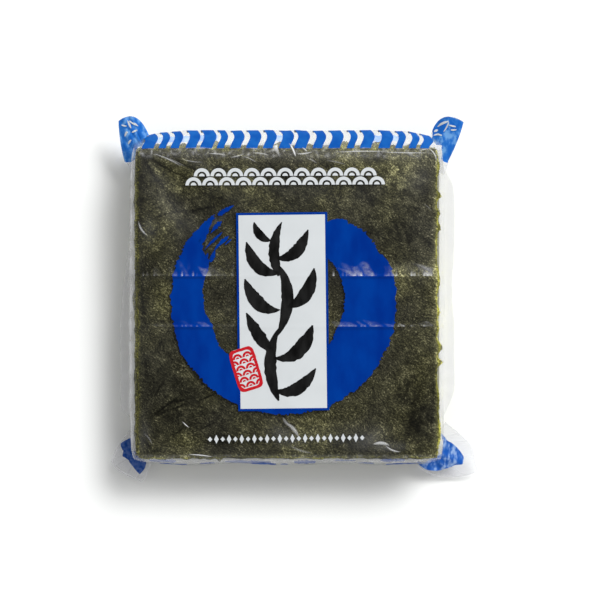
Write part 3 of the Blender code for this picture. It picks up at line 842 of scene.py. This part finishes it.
# %% Crumbs and flakes at the edges
CRUMBS = 11000
CRUMB_LOW, CRUMB_HIGH = 0.22 * MM, 0.62 * MM
CRUMB_SIDES = (  # right, left, near, far: lumps, their weight, how far out and how far along in mm
    (RIGHT_LUMPS, 1.15, 96.8, 98), (LEFT_LUMPS, 1, 99.2, 99),
    (NEAR_LUMPS, 1, 100.1, 96), (FAR_LUMPS, 1, 101.4, 96),
)
CRUMB_SHARES = (0.45, 0.19, 0.16, 0.20)
# Lightness of the crumbs on each side, highest at the right, which faces the key light: partly painted light.
CRUMB_LIGHT = (5.2, 3.0, 3.6, 3.6)

rng = np.random.default_rng(17)
corner = np.array([(1, 0, 0), (0, 1, 0), (-1, 0, 0), (0, -1, 0), (0, 0, 0.45), (0, 0, -0.45)], float)
crumb_faces = np.array([(0, 1, 4), (1, 2, 4), (2, 3, 4), (3, 0, 4),
                        (1, 0, 5), (2, 1, 5), (3, 2, 5), (0, 3, 5)])
place = rng.uniform(-1, 1, CRUMBS)
which = rng.choice(4, CRUMBS, p=CRUMB_SHARES)
height = rng.uniform(0.12, 0.93, CRUMBS)
out = rng.uniform(-0.5, 0.4, CRUMBS) * MM
share = rng.uniform(0, 1, CRUMBS) ** 0.6 * (1 - height ** 12)
right, left, near, far = (start * MM + weight * lumps(place * half * MM, table) * share + out
                          for table, weight, start, half in CRUMB_SIDES)
spots = [place * half * MM for *_, half in CRUMB_SIDES]
x = np.choose(which, [right, -left, spots[2], spots[3]])
y = np.choose(which, [spots[0], spots[1], -near, far])
z = 0.8 * MM + height * 20.4 * MM
size = rng.uniform(CRUMB_LOW, CRUMB_HIGH, (CRUMBS, 1, 1)) * rng.uniform(0.5, 1.3, (CRUMBS, 6, 1))
spin = rng.uniform(0, 2 * np.pi, CRUMBS)
tilt = rng.uniform(0, np.pi, CRUMBS)
cs, sn, ct, st = np.cos(spin), np.sin(spin), np.cos(tilt), np.sin(tilt)
turned = np.stack([np.stack(row, -1) for row in ((cs, -sn * ct, sn * st), (sn, cs * ct, -cs * st),
                                                 (np.zeros(CRUMBS), st, ct))], axis=1)
bodies = np.einsum("nij,nkj->nki", turned, corner[None] * size)
bodies += np.stack([x, y, z], -1)[:, None, :]
faces = (crumb_faces[None] + 6 * np.arange(CRUMBS)[:, None, None]).reshape(-1, 3)
light = rng.uniform(0.6, 1.7, CRUMBS) * np.choose(which, CRUMB_LIGHT)
crumbs = mesh_object("nori_crumbs", bodies, faces, nori, "roasted_nori",
                     {"thin": np.repeat(rng.uniform(0.6, 1.0, CRUMBS), 6), "light": np.repeat(light, 6)})
crumbs.data.shade_flat()

# %% [markdown]
# ## The print
# The print lies on the film, and follows its creases and waves. Each ink is its own thin plate, a few
# hundredths of a millimetre thick. Inks that overlap lie at different heights, in the order in which
# they were printed.

# %% Inks
INK_WALL = 0.03 * MM
RISE_RING, RISE_LABEL, RISE_FRONT = 0.06 * MM, 0.12 * MM, 0.18 * MM


def ink_material(name, stops, stretch=(1, 1, 1), grain=6 * MM):
    """Gravure ink on film: an even colour with slow tonal change, in streaks where stretched."""
    material, tree = new_material(name)
    place = add_node(tree, "TexCoord").outputs["Object"]
    tone = noise(tree, maths(tree, "MULTIPLY", place, stretch, kind="VectorMath"), grain)
    colour = add_node(tree, "ValToRGB", {"Fac": tone}, stops=stops).outputs["Color"]
    surface(tree, add_node(tree, "BsdfPrincipled", {"Base Color": colour, "Roughness": 0.4,
                                                    "Specular IOR Level": 0.06}))
    return material


blue_ink = ink_material("blue gravure ink, brushed", ((0.35, "00297d"), (0.5, "002f84"), (0.66, "00358b")),
                        (1, 0.45, 1), 11 * MM)
bold_blue = ink_material("blue gravure ink on the far end", ((0.35, "04438d"), (0.65, "105097")))
ear_blue = ink_material("blue gravure ink on the far flaps",
                        ((0.38, "1c62bc"), (0.5, "2e72c6"), (0.62, "6a9fda")), (1, 0.6, 1), 4 * MM)
dark_blue = ink_material("blue gravure ink, doubled", ((0.38, "16428c"), (0.62, "4a64a0")), grain=2.5 * MM)
light_blue = ink_material("blue gravure ink, thin", ((0.38, "1f55ac"), (0.5, "3d6cba"), (0.64, "93aedb")),
                          (1, 0.5, 1), 2.5 * MM)
pale_blue = ink_material("blue gravure ink behind a second film", ((0.35, "7c9fd6"), (0.65, "a9c0e4")))
white_ink = ink_material("white gravure ink", ((0.3, "c2c6c8"), (0.7, "c8ccce")), grain=25 * MM)
black_ink = ink_material("black gravure ink", ((0.3, "0c0c0c"), (0.7, "222222")), (1, 0.4, 1), 5 * MM)
red_ink = ink_material("red gravure ink", ((0.3, "ae1721"), (0.7, "ba2229")), grain=3 * MM)


def on_film(x, y, rise):
    """A grid of points over places x, y of the film, lifted by rise along Z."""
    return outward(film_at(x, y) + (0, 0, rise))


def print_piece(name, grids, ink, slot):
    """A printed piece: a plate as thick as its ink."""
    plate(name, grids, INK_WALL, ink, slot)


# %% [markdown]
# The blue ring is one turn of a loaded brush. In polar coordinates it is a band between two radii, read
# off a short table by angle. Both rims stray and have teeth, as bristles leave them. It begins beside
# the label's top right corner and ends at the upper left, where the brush runs dry in streaks.

# %% The brushed ring
RING_X, RING_Y = -2.6 * MM, 1.8 * MM
RING_START, RING_END = 24.0, 320.0     # degrees, clockwise from the far side
RING_STEPS, RING_ACROSS = 1100, 18
OUTER_RIM = (  # degrees, radius in mm
    (24, 29.3, 32, 35.3, 41.4, 49.8, 55.9, 63.9, 72, 95, 150, 200, 232, 241, 255, 270, 300, 320),
    (56, 59.3, 62.5, 65.8, 65.7, 68.8, 69.3, 69.5, 72.5, 73, 74, 73.4, 73.8, 75, 73.2, 73.5, 74, 72))
INNER_RIM = ((24, 120, 150, 214, 235, 250, 272, 292, 298.5, 302.5, 312, 320),
             (40.5, 38.8, 43, 50.4, 50.6, 49.4, 52.6, 53.2, 55.5, 64, 66.2, 70.5))


def brush_rim(angle, table, slow, teeth, seed):
    """Radius at an angle: the table's value, plus slow noise, plus sharp teeth where noise passes 0."""
    arc = angle * 72 * MM
    radius = np.interp(np.degrees(angle), *table)
    radius = radius + slow * (soft_noise(arc, 0, 8 * MM, seed) + 0.6 * soft_noise(arc, 3, 3 * MM, seed))
    return (radius + teeth * (1 - 2.2 * np.abs(soft_noise(arc, 7, 2.3 * MM, seed)))
            + 0.4 * teeth * soft_noise(arc, 9, 0.9 * MM, seed)) * MM


def polar(angle, radius):
    """Places round the ring's centre, clockwise from the far side."""
    return RING_X + radius * np.sin(angle), RING_Y + radius * np.cos(angle)


def brush_stroke(start, pull, end, width, rise, seed, belly=0.45, fray=0.10):
    """A stroke along a quadratic curve: width times a lobe whose widest place is at belly."""
    t, s = two_ranges((0, 1, 60), (-1, 1, 9))
    start, pull, end = (np.array(p) * MM for p in (start, pull, end))
    centre = (((1 - t) ** 2)[..., None] * start + (2 * t * (1 - t))[..., None] * pull
              + (t ** 2)[..., None] * end)
    heading = np.gradient(centre, axis=0)
    heading = heading / np.linalg.norm(heading, axis=-1, keepdims=True)
    power = math.log(0.5) / math.log(belly)
    lobe = np.sin(np.pi * np.clip(t, 0.012, 0.988) ** power) ** 0.7
    half = width / 2 * MM * lobe * (1 + fray * soft_noise(t * 60, s * 2 + seed, 3.0, seed))
    return on_film(centre[..., 0] - heading[..., 1] * half * s,
                   centre[..., 1] + heading[..., 0] * half * s, rise)


turn, share = two_ranges((0, 1, RING_STEPS), (0, 1, RING_ACROSS))
angle = np.radians(RING_START + (RING_END - RING_START) * turn)
low = brush_rim(angle, INNER_RIM, 0.5, 0.45, 61)
high = brush_rim(angle, OUTER_RIM, 0.5, 0.75, 62)
ring_grids = [on_film(*polar(angle, low + (high - low) * share), RISE_RING)]

DRY_STREAKS = (  # start, pull, end in mm, width in mm, widest place
    ((-57, 46), (-53, 52), (-47, 56), 2.2, 0.30), ((-54, 51), (-50, 55.5), (-47.5, 58), 1.2, 0.5),
    ((-45.5, 57.5), (-41, 60.5), (-35, 64), 2.9, 0.30), ((-50.5, 45.5), (-47, 50), (-43, 53.5), 2.8, 0.65),
    ((-54.5, 34.5), (-50, 40), (-42.5, 46.5), 1.7, 0.62), ((-49.5, 32), (-46, 38), (-38.5, 44), 2.5, 0.72),
    ((-41, 38), (-38.5, 40.5), (-36.5, 42), 1.0, 0.5), ((-58, 40), (-55.5, 43), (-53, 47), 1.7, 0.4),
    ((-58.5, 33), (-56.5, 36), (-55, 38), 1.5, 0.5), ((-50.5, 27), (-48.5, 31), (-47.5, 35), 2.6, 0.35),
    ((-54, 28), (-52.5, 31), (-52, 33), 1.6, 0.4), ((-60, 36), (-58, 40), (-56.5, 42.5), 1.6, 0.4),
)
ring_grids += [brush_stroke(a, b, c, w, RISE_RING + 0.02 * MM, i, e, 0.35)
               for i, (a, b, c, w, e) in enumerate(DRY_STREAKS)]
print_piece("brushed_ring", ring_grids, blue_ink, "blue_ink")

# %% [markdown]
# The label is a white rectangle with a narrow blue border, a touch out of square with the stack.

# %% The white label
LABEL_X, LABEL_Y = (LABEL_LEFT * MM, LABEL_RIGHT * MM), (-69.5 * MM, 59.2 * MM)
LABEL_TILT = 0.65
BORDER = 1.5 * MM
SPACING = 1.0 * MM       # of the points of a printed plate


def tilted(x, y, centre, degrees):
    """Turns places round a centre, counter-clockwise seen from above."""
    cos, sin = math.cos(math.radians(degrees)), math.sin(math.radians(degrees))
    dx, dy = x - centre[0], y - centre[1]
    return centre[0] + dx * cos - dy * sin, centre[1] + dx * sin + dy * cos


def rectangle(x_ends, y_ends, rise):
    """A grid over a rectangle of the label, tilted with it, a point every SPACING."""
    y, x = two_ranges(*((*ends, max(2, round(abs(ends[1] - ends[0]) / SPACING) + 1))
                        for ends in (y_ends, x_ends)))
    return on_film(*tilted(x, y, (sum(LABEL_X) / 2, sum(LABEL_Y) / 2), LABEL_TILT), rise)


inner_x, inner_y = ((ends[0] + BORDER, ends[1] - BORDER) for ends in (LABEL_X, LABEL_Y))
strips = ((LABEL_X, (LABEL_Y[0], inner_y[0])), (LABEL_X, (inner_y[1], LABEL_Y[1])),
          ((LABEL_X[0], inner_x[0]), inner_y), ((inner_x[1], LABEL_X[1]), inner_y))
print_piece("white_label", [rectangle(inner_x, inner_y, RISE_LABEL)], white_ink, "white_ink")
print_piece("label_border", [rectangle(*strip, RISE_LABEL + 0.02 * MM) for strip in strips],
            blue_ink, "blue_ink")

# %% [markdown]
# On the label stands a plant of kelp in black brush strokes. A stroke is a bowed line with a width that
# swells from a point and tapers away: a function of the way along it and the way across.

# %% Black brush strokes
KELP = (  # start, pull, end in mm, width in mm, widest place
    ((-6, -63), (-17, -38), (-6, -16), 8.0, 0.45), ((-7, -21), (6, 4), (-6, 25), 8.0, 0.50),
    ((-6, 18), (-13, 37), (-4, 53), 7.0, 0.40), ((-9, -32), (-18, -25), (-27, -6), 8.0, 0.55),
    ((-5, -4), (-21, -6), (-28, 16), 9.0, 0.55), ((-5, 20), (-22, 18), (-27, 40), 8.5, 0.55),
    ((-10, -35), (8, -39), (16, -14), 9.5, 0.60), ((-1, -2), (14, 1), (17, 23), 9.0, 0.55),
    ((-8, 30), (6, 27), (13, 48), 8.0, 0.55), ((-9, -56), (6, -62), (18, -42), 8.0, 0.55),
    ((-11, 41), (-20, 42), (-22, 53), 5.5, 0.50),
)
print_piece("kelp_strokes", [brush_stroke(a, b, c, w, RISE_FRONT, i, e)
                             for i, (a, b, c, w, e) in enumerate(KELP)], black_ink, "black_ink")

# %% [markdown]
# The seal is a red frame with round corners, pressed a little askew over the label's edge. Its field
# holds rows of wave scales, an old ornament. Both are polar grids: the frame between two rounded
# rectangles, and each scale between two circles.

# %% The red seal
SEAL_CENTRE = (-27.2 * MM, -42.5 * MM)
SEAL_HALF_X, SEAL_HALF_Y = 8.4 * MM, 14.0 * MM
SEAL_TILT = 16.8
SEAL_FRAME = 1.9 * MM
SEAL_ROWS, SEAL_PITCH = 6, 6.6 * MM
SEAL_RADII = ((1.7 * MM, 3.2 * MM), (0.0, 1.1 * MM))     # of a scale's ring and core


def rounded(angle, half_x, half_y, power=6.0):
    """A rounded rectangle by angle: a superellipse, whose corners are squarer for a higher power."""
    cos, sin = np.cos(angle), np.sin(angle)
    radius = (np.abs(cos / half_x) ** power + np.abs(sin / half_y) ** power) ** (-1 / power)
    return radius * cos, radius * sin


def rounded_plate(inner, rise, fray=0.0):
    """A grid from inner (a share of the outline, 0 for a full plate) out to the seal's outline."""
    share, angle = two_ranges((inner, 1, 8), (0, 2 * np.pi, 161))
    half_x, half_y = (half - SEAL_FRAME * (1 - share) / (1 - inner) if inner else half * share
                      for half in (SEAL_HALF_X, SEAL_HALF_Y))
    x, y = rounded(angle, np.maximum(half_x, 1e-6), np.maximum(half_y, 1e-6))
    x, y = (side * (1 + fray * soft_noise(angle * 9, share, 1.0, seed)) for side, seed in ((x, 71), (y, 72)))
    return on_seal(x, y, rise)


def on_seal(x, y, rise):
    """Places of the seal's own plane, from its centre, turned with it and laid on the film."""
    return on_film(*tilted(SEAL_CENTRE[0] + x, SEAL_CENTRE[1] + y, SEAL_CENTRE, SEAL_TILT), rise)


def scale_arcs(centre_x, centre_y, radii):
    """Places of half rings over a centre, one for each pair of an inner and an outer radius."""
    for inner, outer in radii:
        angle, radius = two_ranges((np.pi, 0, 22), (inner, outer, 3))
        yield centre_x + radius * np.cos(angle), centre_y + radius * np.sin(angle)


print_piece("seal_field", [rounded_plate(0.0, RISE_FRONT - 0.03 * MM)], white_ink, "white_ink")
seal_grids = [rounded_plate(0.7, RISE_FRONT, 0.012)]
for row in range(SEAL_ROWS):
    for column in ((-0.5, 0.5) if row % 2 else (-1, 0, 1)):
        for x, y in scale_arcs(column * SEAL_PITCH, (row - 2.95) * SEAL_PITCH * 0.58, SEAL_RADII):
            x = np.clip(x, SEAL_FRAME - SEAL_HALF_X, SEAL_HALF_X - SEAL_FRAME)
            seal_grids.append(on_seal(x, y, RISE_FRONT - 0.01 * MM))
print_piece("red_seal", seal_grids, red_ink, "red_ink")

# %% [markdown]
# Two white ornament rows stand above and below the ring: a bold row of wave scales, and a fine row of
# lozenges.

# %% White ornament rows
ROW_FAR_Y, ROW_FAR_X, ROW_FAR_WIDE = 77.2 * MM, -1.8 * MM, 130 * MM
ROW_NEAR_Y, ROW_NEAR_X, ROW_NEAR_WIDE = -87.6 * MM, -1.2 * MM, 103 * MM
SCALES = 12
LOZENGES = 25

pitch = ROW_FAR_WIDE / SCALES
wave_grids = []
for row in range(2):
    for i in range(SCALES - row):
        middle_x = ROW_FAR_X + (i + 0.5 * row - (SCALES - 1) / 2) * pitch
        radii = ((0.28 * pitch, 0.485 * pitch), (0.0, 0.17 * pitch))
        for x, y in scale_arcs(middle_x, ROW_FAR_Y + row * 0.54 * pitch, radii):
            wave_grids.append(on_film(*tilted(x, y, (0, ROW_FAR_Y), 0.3), RISE_RING))
lozenge_pitch = ROW_NEAR_WIDE / LOZENGES
for i in range(LOZENGES):
    middle_x = ROW_NEAR_X + (i - (LOZENGES - 1) / 2) * lozenge_pitch
    high = (2.9 if i % 2 else 1.7) * MM
    share, angle = two_ranges((0.01, 1, 3), (0, 2 * np.pi, 5))
    x = middle_x + share * 0.36 * lozenge_pitch * np.cos(angle)
    y = ROW_NEAR_Y + share * high * np.sin(angle)
    wave_grids.append(on_film(*tilted(x, y, (0, ROW_NEAR_Y), 0.6), RISE_RING))
print_piece("white_ornament", wave_grids, white_ink, "white_ink")

# %% [markdown]
# The far end's print is bold and blue: a row of upright strokes of uneven width, all swaying alike, as
# ripples in sand. Each runs from the top edge down the leaning film and on under its fold, and sways
# sideways by a cosine of the travel. A paler stretch is the print of the film behind.

# %% Blue strokes on the folded far end
STROKES = 19
STROKES_LEFT, STROKES_RIGHT = -94 * MM, 93 * MM
STROKE_SWAY = 1.3 * MM
STROKE_MIDDLE = 8.5 * MM     # travel at which a stroke sways furthest
STROKE_END = 19.5 * MM
PALE_PATCHES = ((-88, -46), (-12, -2), (56, 74))    # mm from the middle, left and right ends

rng = np.random.default_rng(46)
spans = np.cumsum(np.stack([rng.uniform(4.2, 8.0, STROKES), rng.uniform(2.4, 4.6, STROKES)], axis=1))
spans = STROKES_LEFT + (STROKES_RIGHT - STROKES_LEFT) * np.concatenate([[0.0], spans / spans[-2]])
far_grids, pale_grids = [], []
for left, right in zip(spans[::2], spans[1::2]):
    travel, share = two_ranges((0.1 * MM, STROKE_END, 46), (0, 1, 7))
    sway = STROKE_SWAY * np.cos(np.pi * (travel - STROKE_MIDDLE) / (9 * MM))
    far_grids.append(risen(film_at(left + (right - left) * share + sway, HALF_Y + travel), 0.05 * MM))
for left, right in PALE_PATCHES:
    travel, share = two_ranges((5.2 * MM, 10.0 * MM, 8), (0, 1, 50))
    travel = HALF_Y + travel + 0.8 * MM * soft_noise(share * 30, left, 2.0, 73)
    pale_grids.append(risen(film_at((left + (right - left) * share) * MM, travel), -0.35 * MM))
print_piece("far_end_print", far_grids, bold_blue, "blue_ink")
print_piece("far_end_pale_print", pale_grids, pale_blue, "blue_ink")

# %% [markdown]
# The near end is tucked in steeper, so that its print shows only as a few blurred slivers of blue.

# %% Blue slivers on the near end
SLIVERS = (  # x at both ends, height on the wall as a share of its fall, half height, rise in mm
    (-90, -73, 0.15, 0.09, -0.1), (-41, -11, 0.25, 0.15, -0.1), (4, 18, 0.22, 0.12, -0.1),
    (60, 76, 0.09, 0.08, -0.1), (-58, -48, 0.30, 0.05, -0.1), (30, 44, 0.12, 0.05, -0.1),
    (-24, -8, 0.34, 0.09, 0.04), (64, 84, 0.34, 0.06, 0.04), (-84, -66, 0.36, 0.04, 0.04),
    (-5, 0, 0.38, 0.04, 0.04), (46, 56, 0.30, 0.03, 0.04),
)
sliver_grids = []
for left, right, middle, half, rise in SLIVERS:
    share, up = two_ranges((0, 1, 60), (-1, 1, 5))
    lobe = np.sin(np.pi * np.clip(share, 0.02, 0.98)) ** 0.2
    lobe = lobe * (1 + 0.4 * soft_noise(share * 20, left, 1.5, 74))
    place_x = (left + (right - left) * share) * MM
    wall = film_wall(place_x / HALF_X, -np.ones_like(share), middle + half * lobe * up)
    sliver_grids.append(risen(wall, rise * MM))
print_piece("near_end_print", sliver_grids, dark_blue, "blue_ink")

# %% [markdown]
# ## The corner flaps
# At each corner the bag's folded end stands out as a flap of doubled film. Its rim is a chain of
# curved stretches, and its surface runs from a root inside the corner out to that rim. Folds fan out
# from the root. The far flaps carry blue print nearly all over, the near ones only at their middle.

# %% Flap shapes
ROOT_IN = 8.0
RIM_SOFTNESS = 1.5
FLAPS = {  # signs, root height, rim start, then (pull, end) stretches: (out X, out Y, height) in mm
    "far_left": ((-1, 1), 12.0, (-8.5, 8.0, 12), (
        ((-3.4, 21.5, 15), (4.0, 21.6, 16)), ((8.5, 21.3, 16), (11.9, 18.4, 15)),
        ((11.8, 6.0, 12), (8.4, -7.7, 9)), ((7.0, -9.0, 9), (2.0, -13.0, 9)))),
    "far_right": ((1, 1), 12.0, (-5.5, 10.0, 12), (
        ((-2.0, 21.2, 15), (5.5, 21.3, 16)), ((11.0, 21.0, 16), (15.9, 17.8, 15)),
        ((12.8, 5.5, 12), (6.2, -7.2, 9)), ((6.0, -11.0, 9), (3.0, -17.0, 10)))),
    "near_left": ((-1, -1), 8.5, (-9.5, 0.0, 8), (
        ((-6.0, 16.4, 4), (-1.9, 15.9, 2)), ((6.0, 13.2, 2), (12.6, 8.7, 3)),
        ((16.5, 5.5, 3), (17.5, 2.9, 4)), ((14.0, -8.0, 8), (4.0, -19.0, 10)))),
    "near_right": ((1, -1), 8.5, (-16.0, 2.0, 8), (
        ((-8.0, 13.2, 4), (5.4, 13.6, 2)), ((16.0, 13.5, 2), (25.5, 9.9, 3)),
        ((25.0, -7.0, 5), (18.0, -11.5, 7)), ((11.0, -18.0, 9), (4.0, -23.5, 11)))),
}
FOLDS = {"far_left": (5.0, 0.5, 81), "far_right": (6.0, 0.7, 82),
         "near_left": (7.0, 0.6, 83), "near_right": (6.0, 0.4, 84)}   # folds, their height in mm, seed


def fold_wave(flap, along, out):
    """Folds as |sin| of the way along the rim, bent by noise: 0 in a sharp valley, 1 on a round back."""
    count, _, seed = FOLDS[flap]
    return np.abs(np.sin(np.pi * count * along + 2 * soft_noise(along * 4, out, 1.0, seed)))


def flap_point(flap, along, out, lift=0.0):
    """A point of a flap: along its rim from 0 to 1, and out from its root from 0 to 1. Folds fan out
    and grow with out. lift raises it along Z."""
    (way_x, way_y), root_z, start, stretches = FLAPS[flap]
    ends = np.array([start] + [end for _, end in stretches], float)
    pulls = np.array([pull for pull, _ in stretches], float)
    at = np.clip(along, 0, 1) * len(stretches)
    number = np.minimum(at.astype(int), len(stretches) - 1)
    t = (at - number)[..., None]
    edge = (1 - t) ** 2 * ends[number] + 2 * t * (1 - t) * pulls[number] + t ** 2 * ends[number + 1]
    swing = (along - 0.5) * ROOT_IN / 2
    root_x, root_y = -ROOT_IN + swing, -ROOT_IN - swing
    x = root_x + (edge[..., 0] - root_x) * out
    y = root_y + (edge[..., 1] - root_y) * out
    z = root_z + (edge[..., 2] - root_z) * out ** RIM_SOFTNESS
    _, high, seed = FOLDS[flap]
    z = z + high * (fold_wave(flap, along, out) - 0.5) * out * (1.3 - out)
    z = z + 0.35 * soft_noise(along * 9, out * 5, 1.0, seed + 10) * out
    z = np.maximum(z * MM, 0.4 * MM) + lift
    return np.stack([way_x * (HALF_X + x * MM), way_y * (HALF_Y + y * MM), z], axis=-1)


# %% Flaps and their print
FLAP_ALONG, FLAP_OUT = 110, 34
FLAP_WALL = 0.22 * MM
BLUE_PARTS = {  # ink, then places along the rim, and the shares of the way out between which it lies there
    "far_left": (ear_blue, (0.02, 0.15, 0.35, 0.55, 0.72, 0.80),
                 (0.92, 0.42, 0.32, 0.38, 0.52, 0.95), (0.99, 0.99, 0.99, 0.99, 0.99, 0.97)),
    "far_right": (ear_blue, (0.04, 0.15, 0.35, 0.55, 0.72, 0.80),
                  (0.92, 0.45, 0.36, 0.42, 0.56, 0.95), (0.99, 0.99, 0.99, 0.99, 0.99, 0.97)),
    "near_left": (dark_blue, (0.24, 0.285, 0.40, 0.53, 0.67, 0.81, 0.89, 0.95),
                  (0.48, 0.42, 0.32, 0.30, 0.34, 0.46, 0.58, 0.66),
                  (0.60, 0.83, 0.72, 0.63, 0.66, 0.715, 0.97, 0.72)),
    "near_right": (light_blue, (0.02, 0.10, 0.17, 0.28, 0.435, 0.555, 0.66, 0.78, 0.93),
                   (0.85, 0.60, 0.42, 0.36, 0.30, 0.30, 0.34, 0.40, 0.52),
                   (0.96, 0.91, 0.82, 0.725, 0.665, 0.745, 0.62, 0.53, 0.57)),
}
TICKS = (  # flap, then along and out at both ends, half width in mm
    ("far_left", 0.20, 0.78, 0.32, 0.90, 0.75), ("far_left", 0.36, 0.74, 0.34, 0.92, 0.65),
    ("far_left", 0.42, 0.82, 0.50, 0.90, 0.70), ("far_left", 0.48, 0.70, 0.56, 0.80, 0.65),
    ("far_left", 0.24, 0.68, 0.40, 0.66, 0.70), ("far_left", 0.52, 0.58, 0.60, 0.70, 0.60),
    ("far_right", 0.16, 0.80, 0.30, 0.90, 0.75), ("far_right", 0.32, 0.66, 0.31, 0.88, 0.70),
    ("far_right", 0.34, 0.82, 0.46, 0.84, 0.65), ("far_right", 0.42, 0.74, 0.50, 0.80, 0.60),
    ("far_right", 0.12, 0.72, 0.20, 0.70, 0.75), ("far_right", 0.14, 0.60, 0.34, 0.58, 0.60),
)
flap_grids, flap_haze = [], []
for flap, (sides, *_) in FLAPS.items():
    along = np.linspace(0, 1, FLAP_ALONG)[::sides[0] * sides[1]]      # so that every flap's front is up
    out, along = np.meshgrid(np.linspace(0.25, 1, FLAP_OUT), along, indexing="ij")
    rim_line = np.exp(-((out - 1) / 0.02) ** 2)
    valley = np.exp(-(fold_wave(flap, along, out) / 0.16) ** 2) * out
    base = 0.02 if flap.startswith("far") else 0.05
    flap_grids.append(flap_point(flap, along, out))
    flap_haze.append((base + 0.25 * rim_line + 0.07 * valley).ravel())
plate("film_flaps", flap_grids, FLAP_WALL, film_clear, "clear_film", {"haze": np.concatenate(flap_haze)})
for flap, (ink, places, inner, outer) in BLUE_PARTS.items():
    share, along = two_ranges((0, 1, 26), (places[0], places[-1], 80))
    low, high = np.interp(along, places, inner), np.interp(along, places, outer)
    blue = outward(flap_point(flap, along, low + (high - low) * share, 0.06 * MM))
    print_piece(flap + "_print", [blue], ink, "blue_ink")
tick_grids = []
for flap, along0, out0, along1, out1, half in TICKS:
    tick = flap_point(flap, along0 + (along1 - along0) * WAY, out0 + (out1 - out0) * WAY, 0.12 * MM)
    tick_grids.append(ribbon(tick, half * MM, SPINDLE, 0.0, 5))
print_piece("flap_ticks", tick_grids, white_ink, "white_ink")

# %% [markdown]
# ## Sizes
# The dressed pack has to keep the size of its solid, so both boxes are written down side by side.

# %% Write both boxes and finish
visual = [list(corner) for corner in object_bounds()]
for name, (low, high) in (("solid", CAD_BOX), ("dressed", visual)):
    print(name, "in mm:", [round((b - a) / MM, 1) for a, b in zip(low, high)])
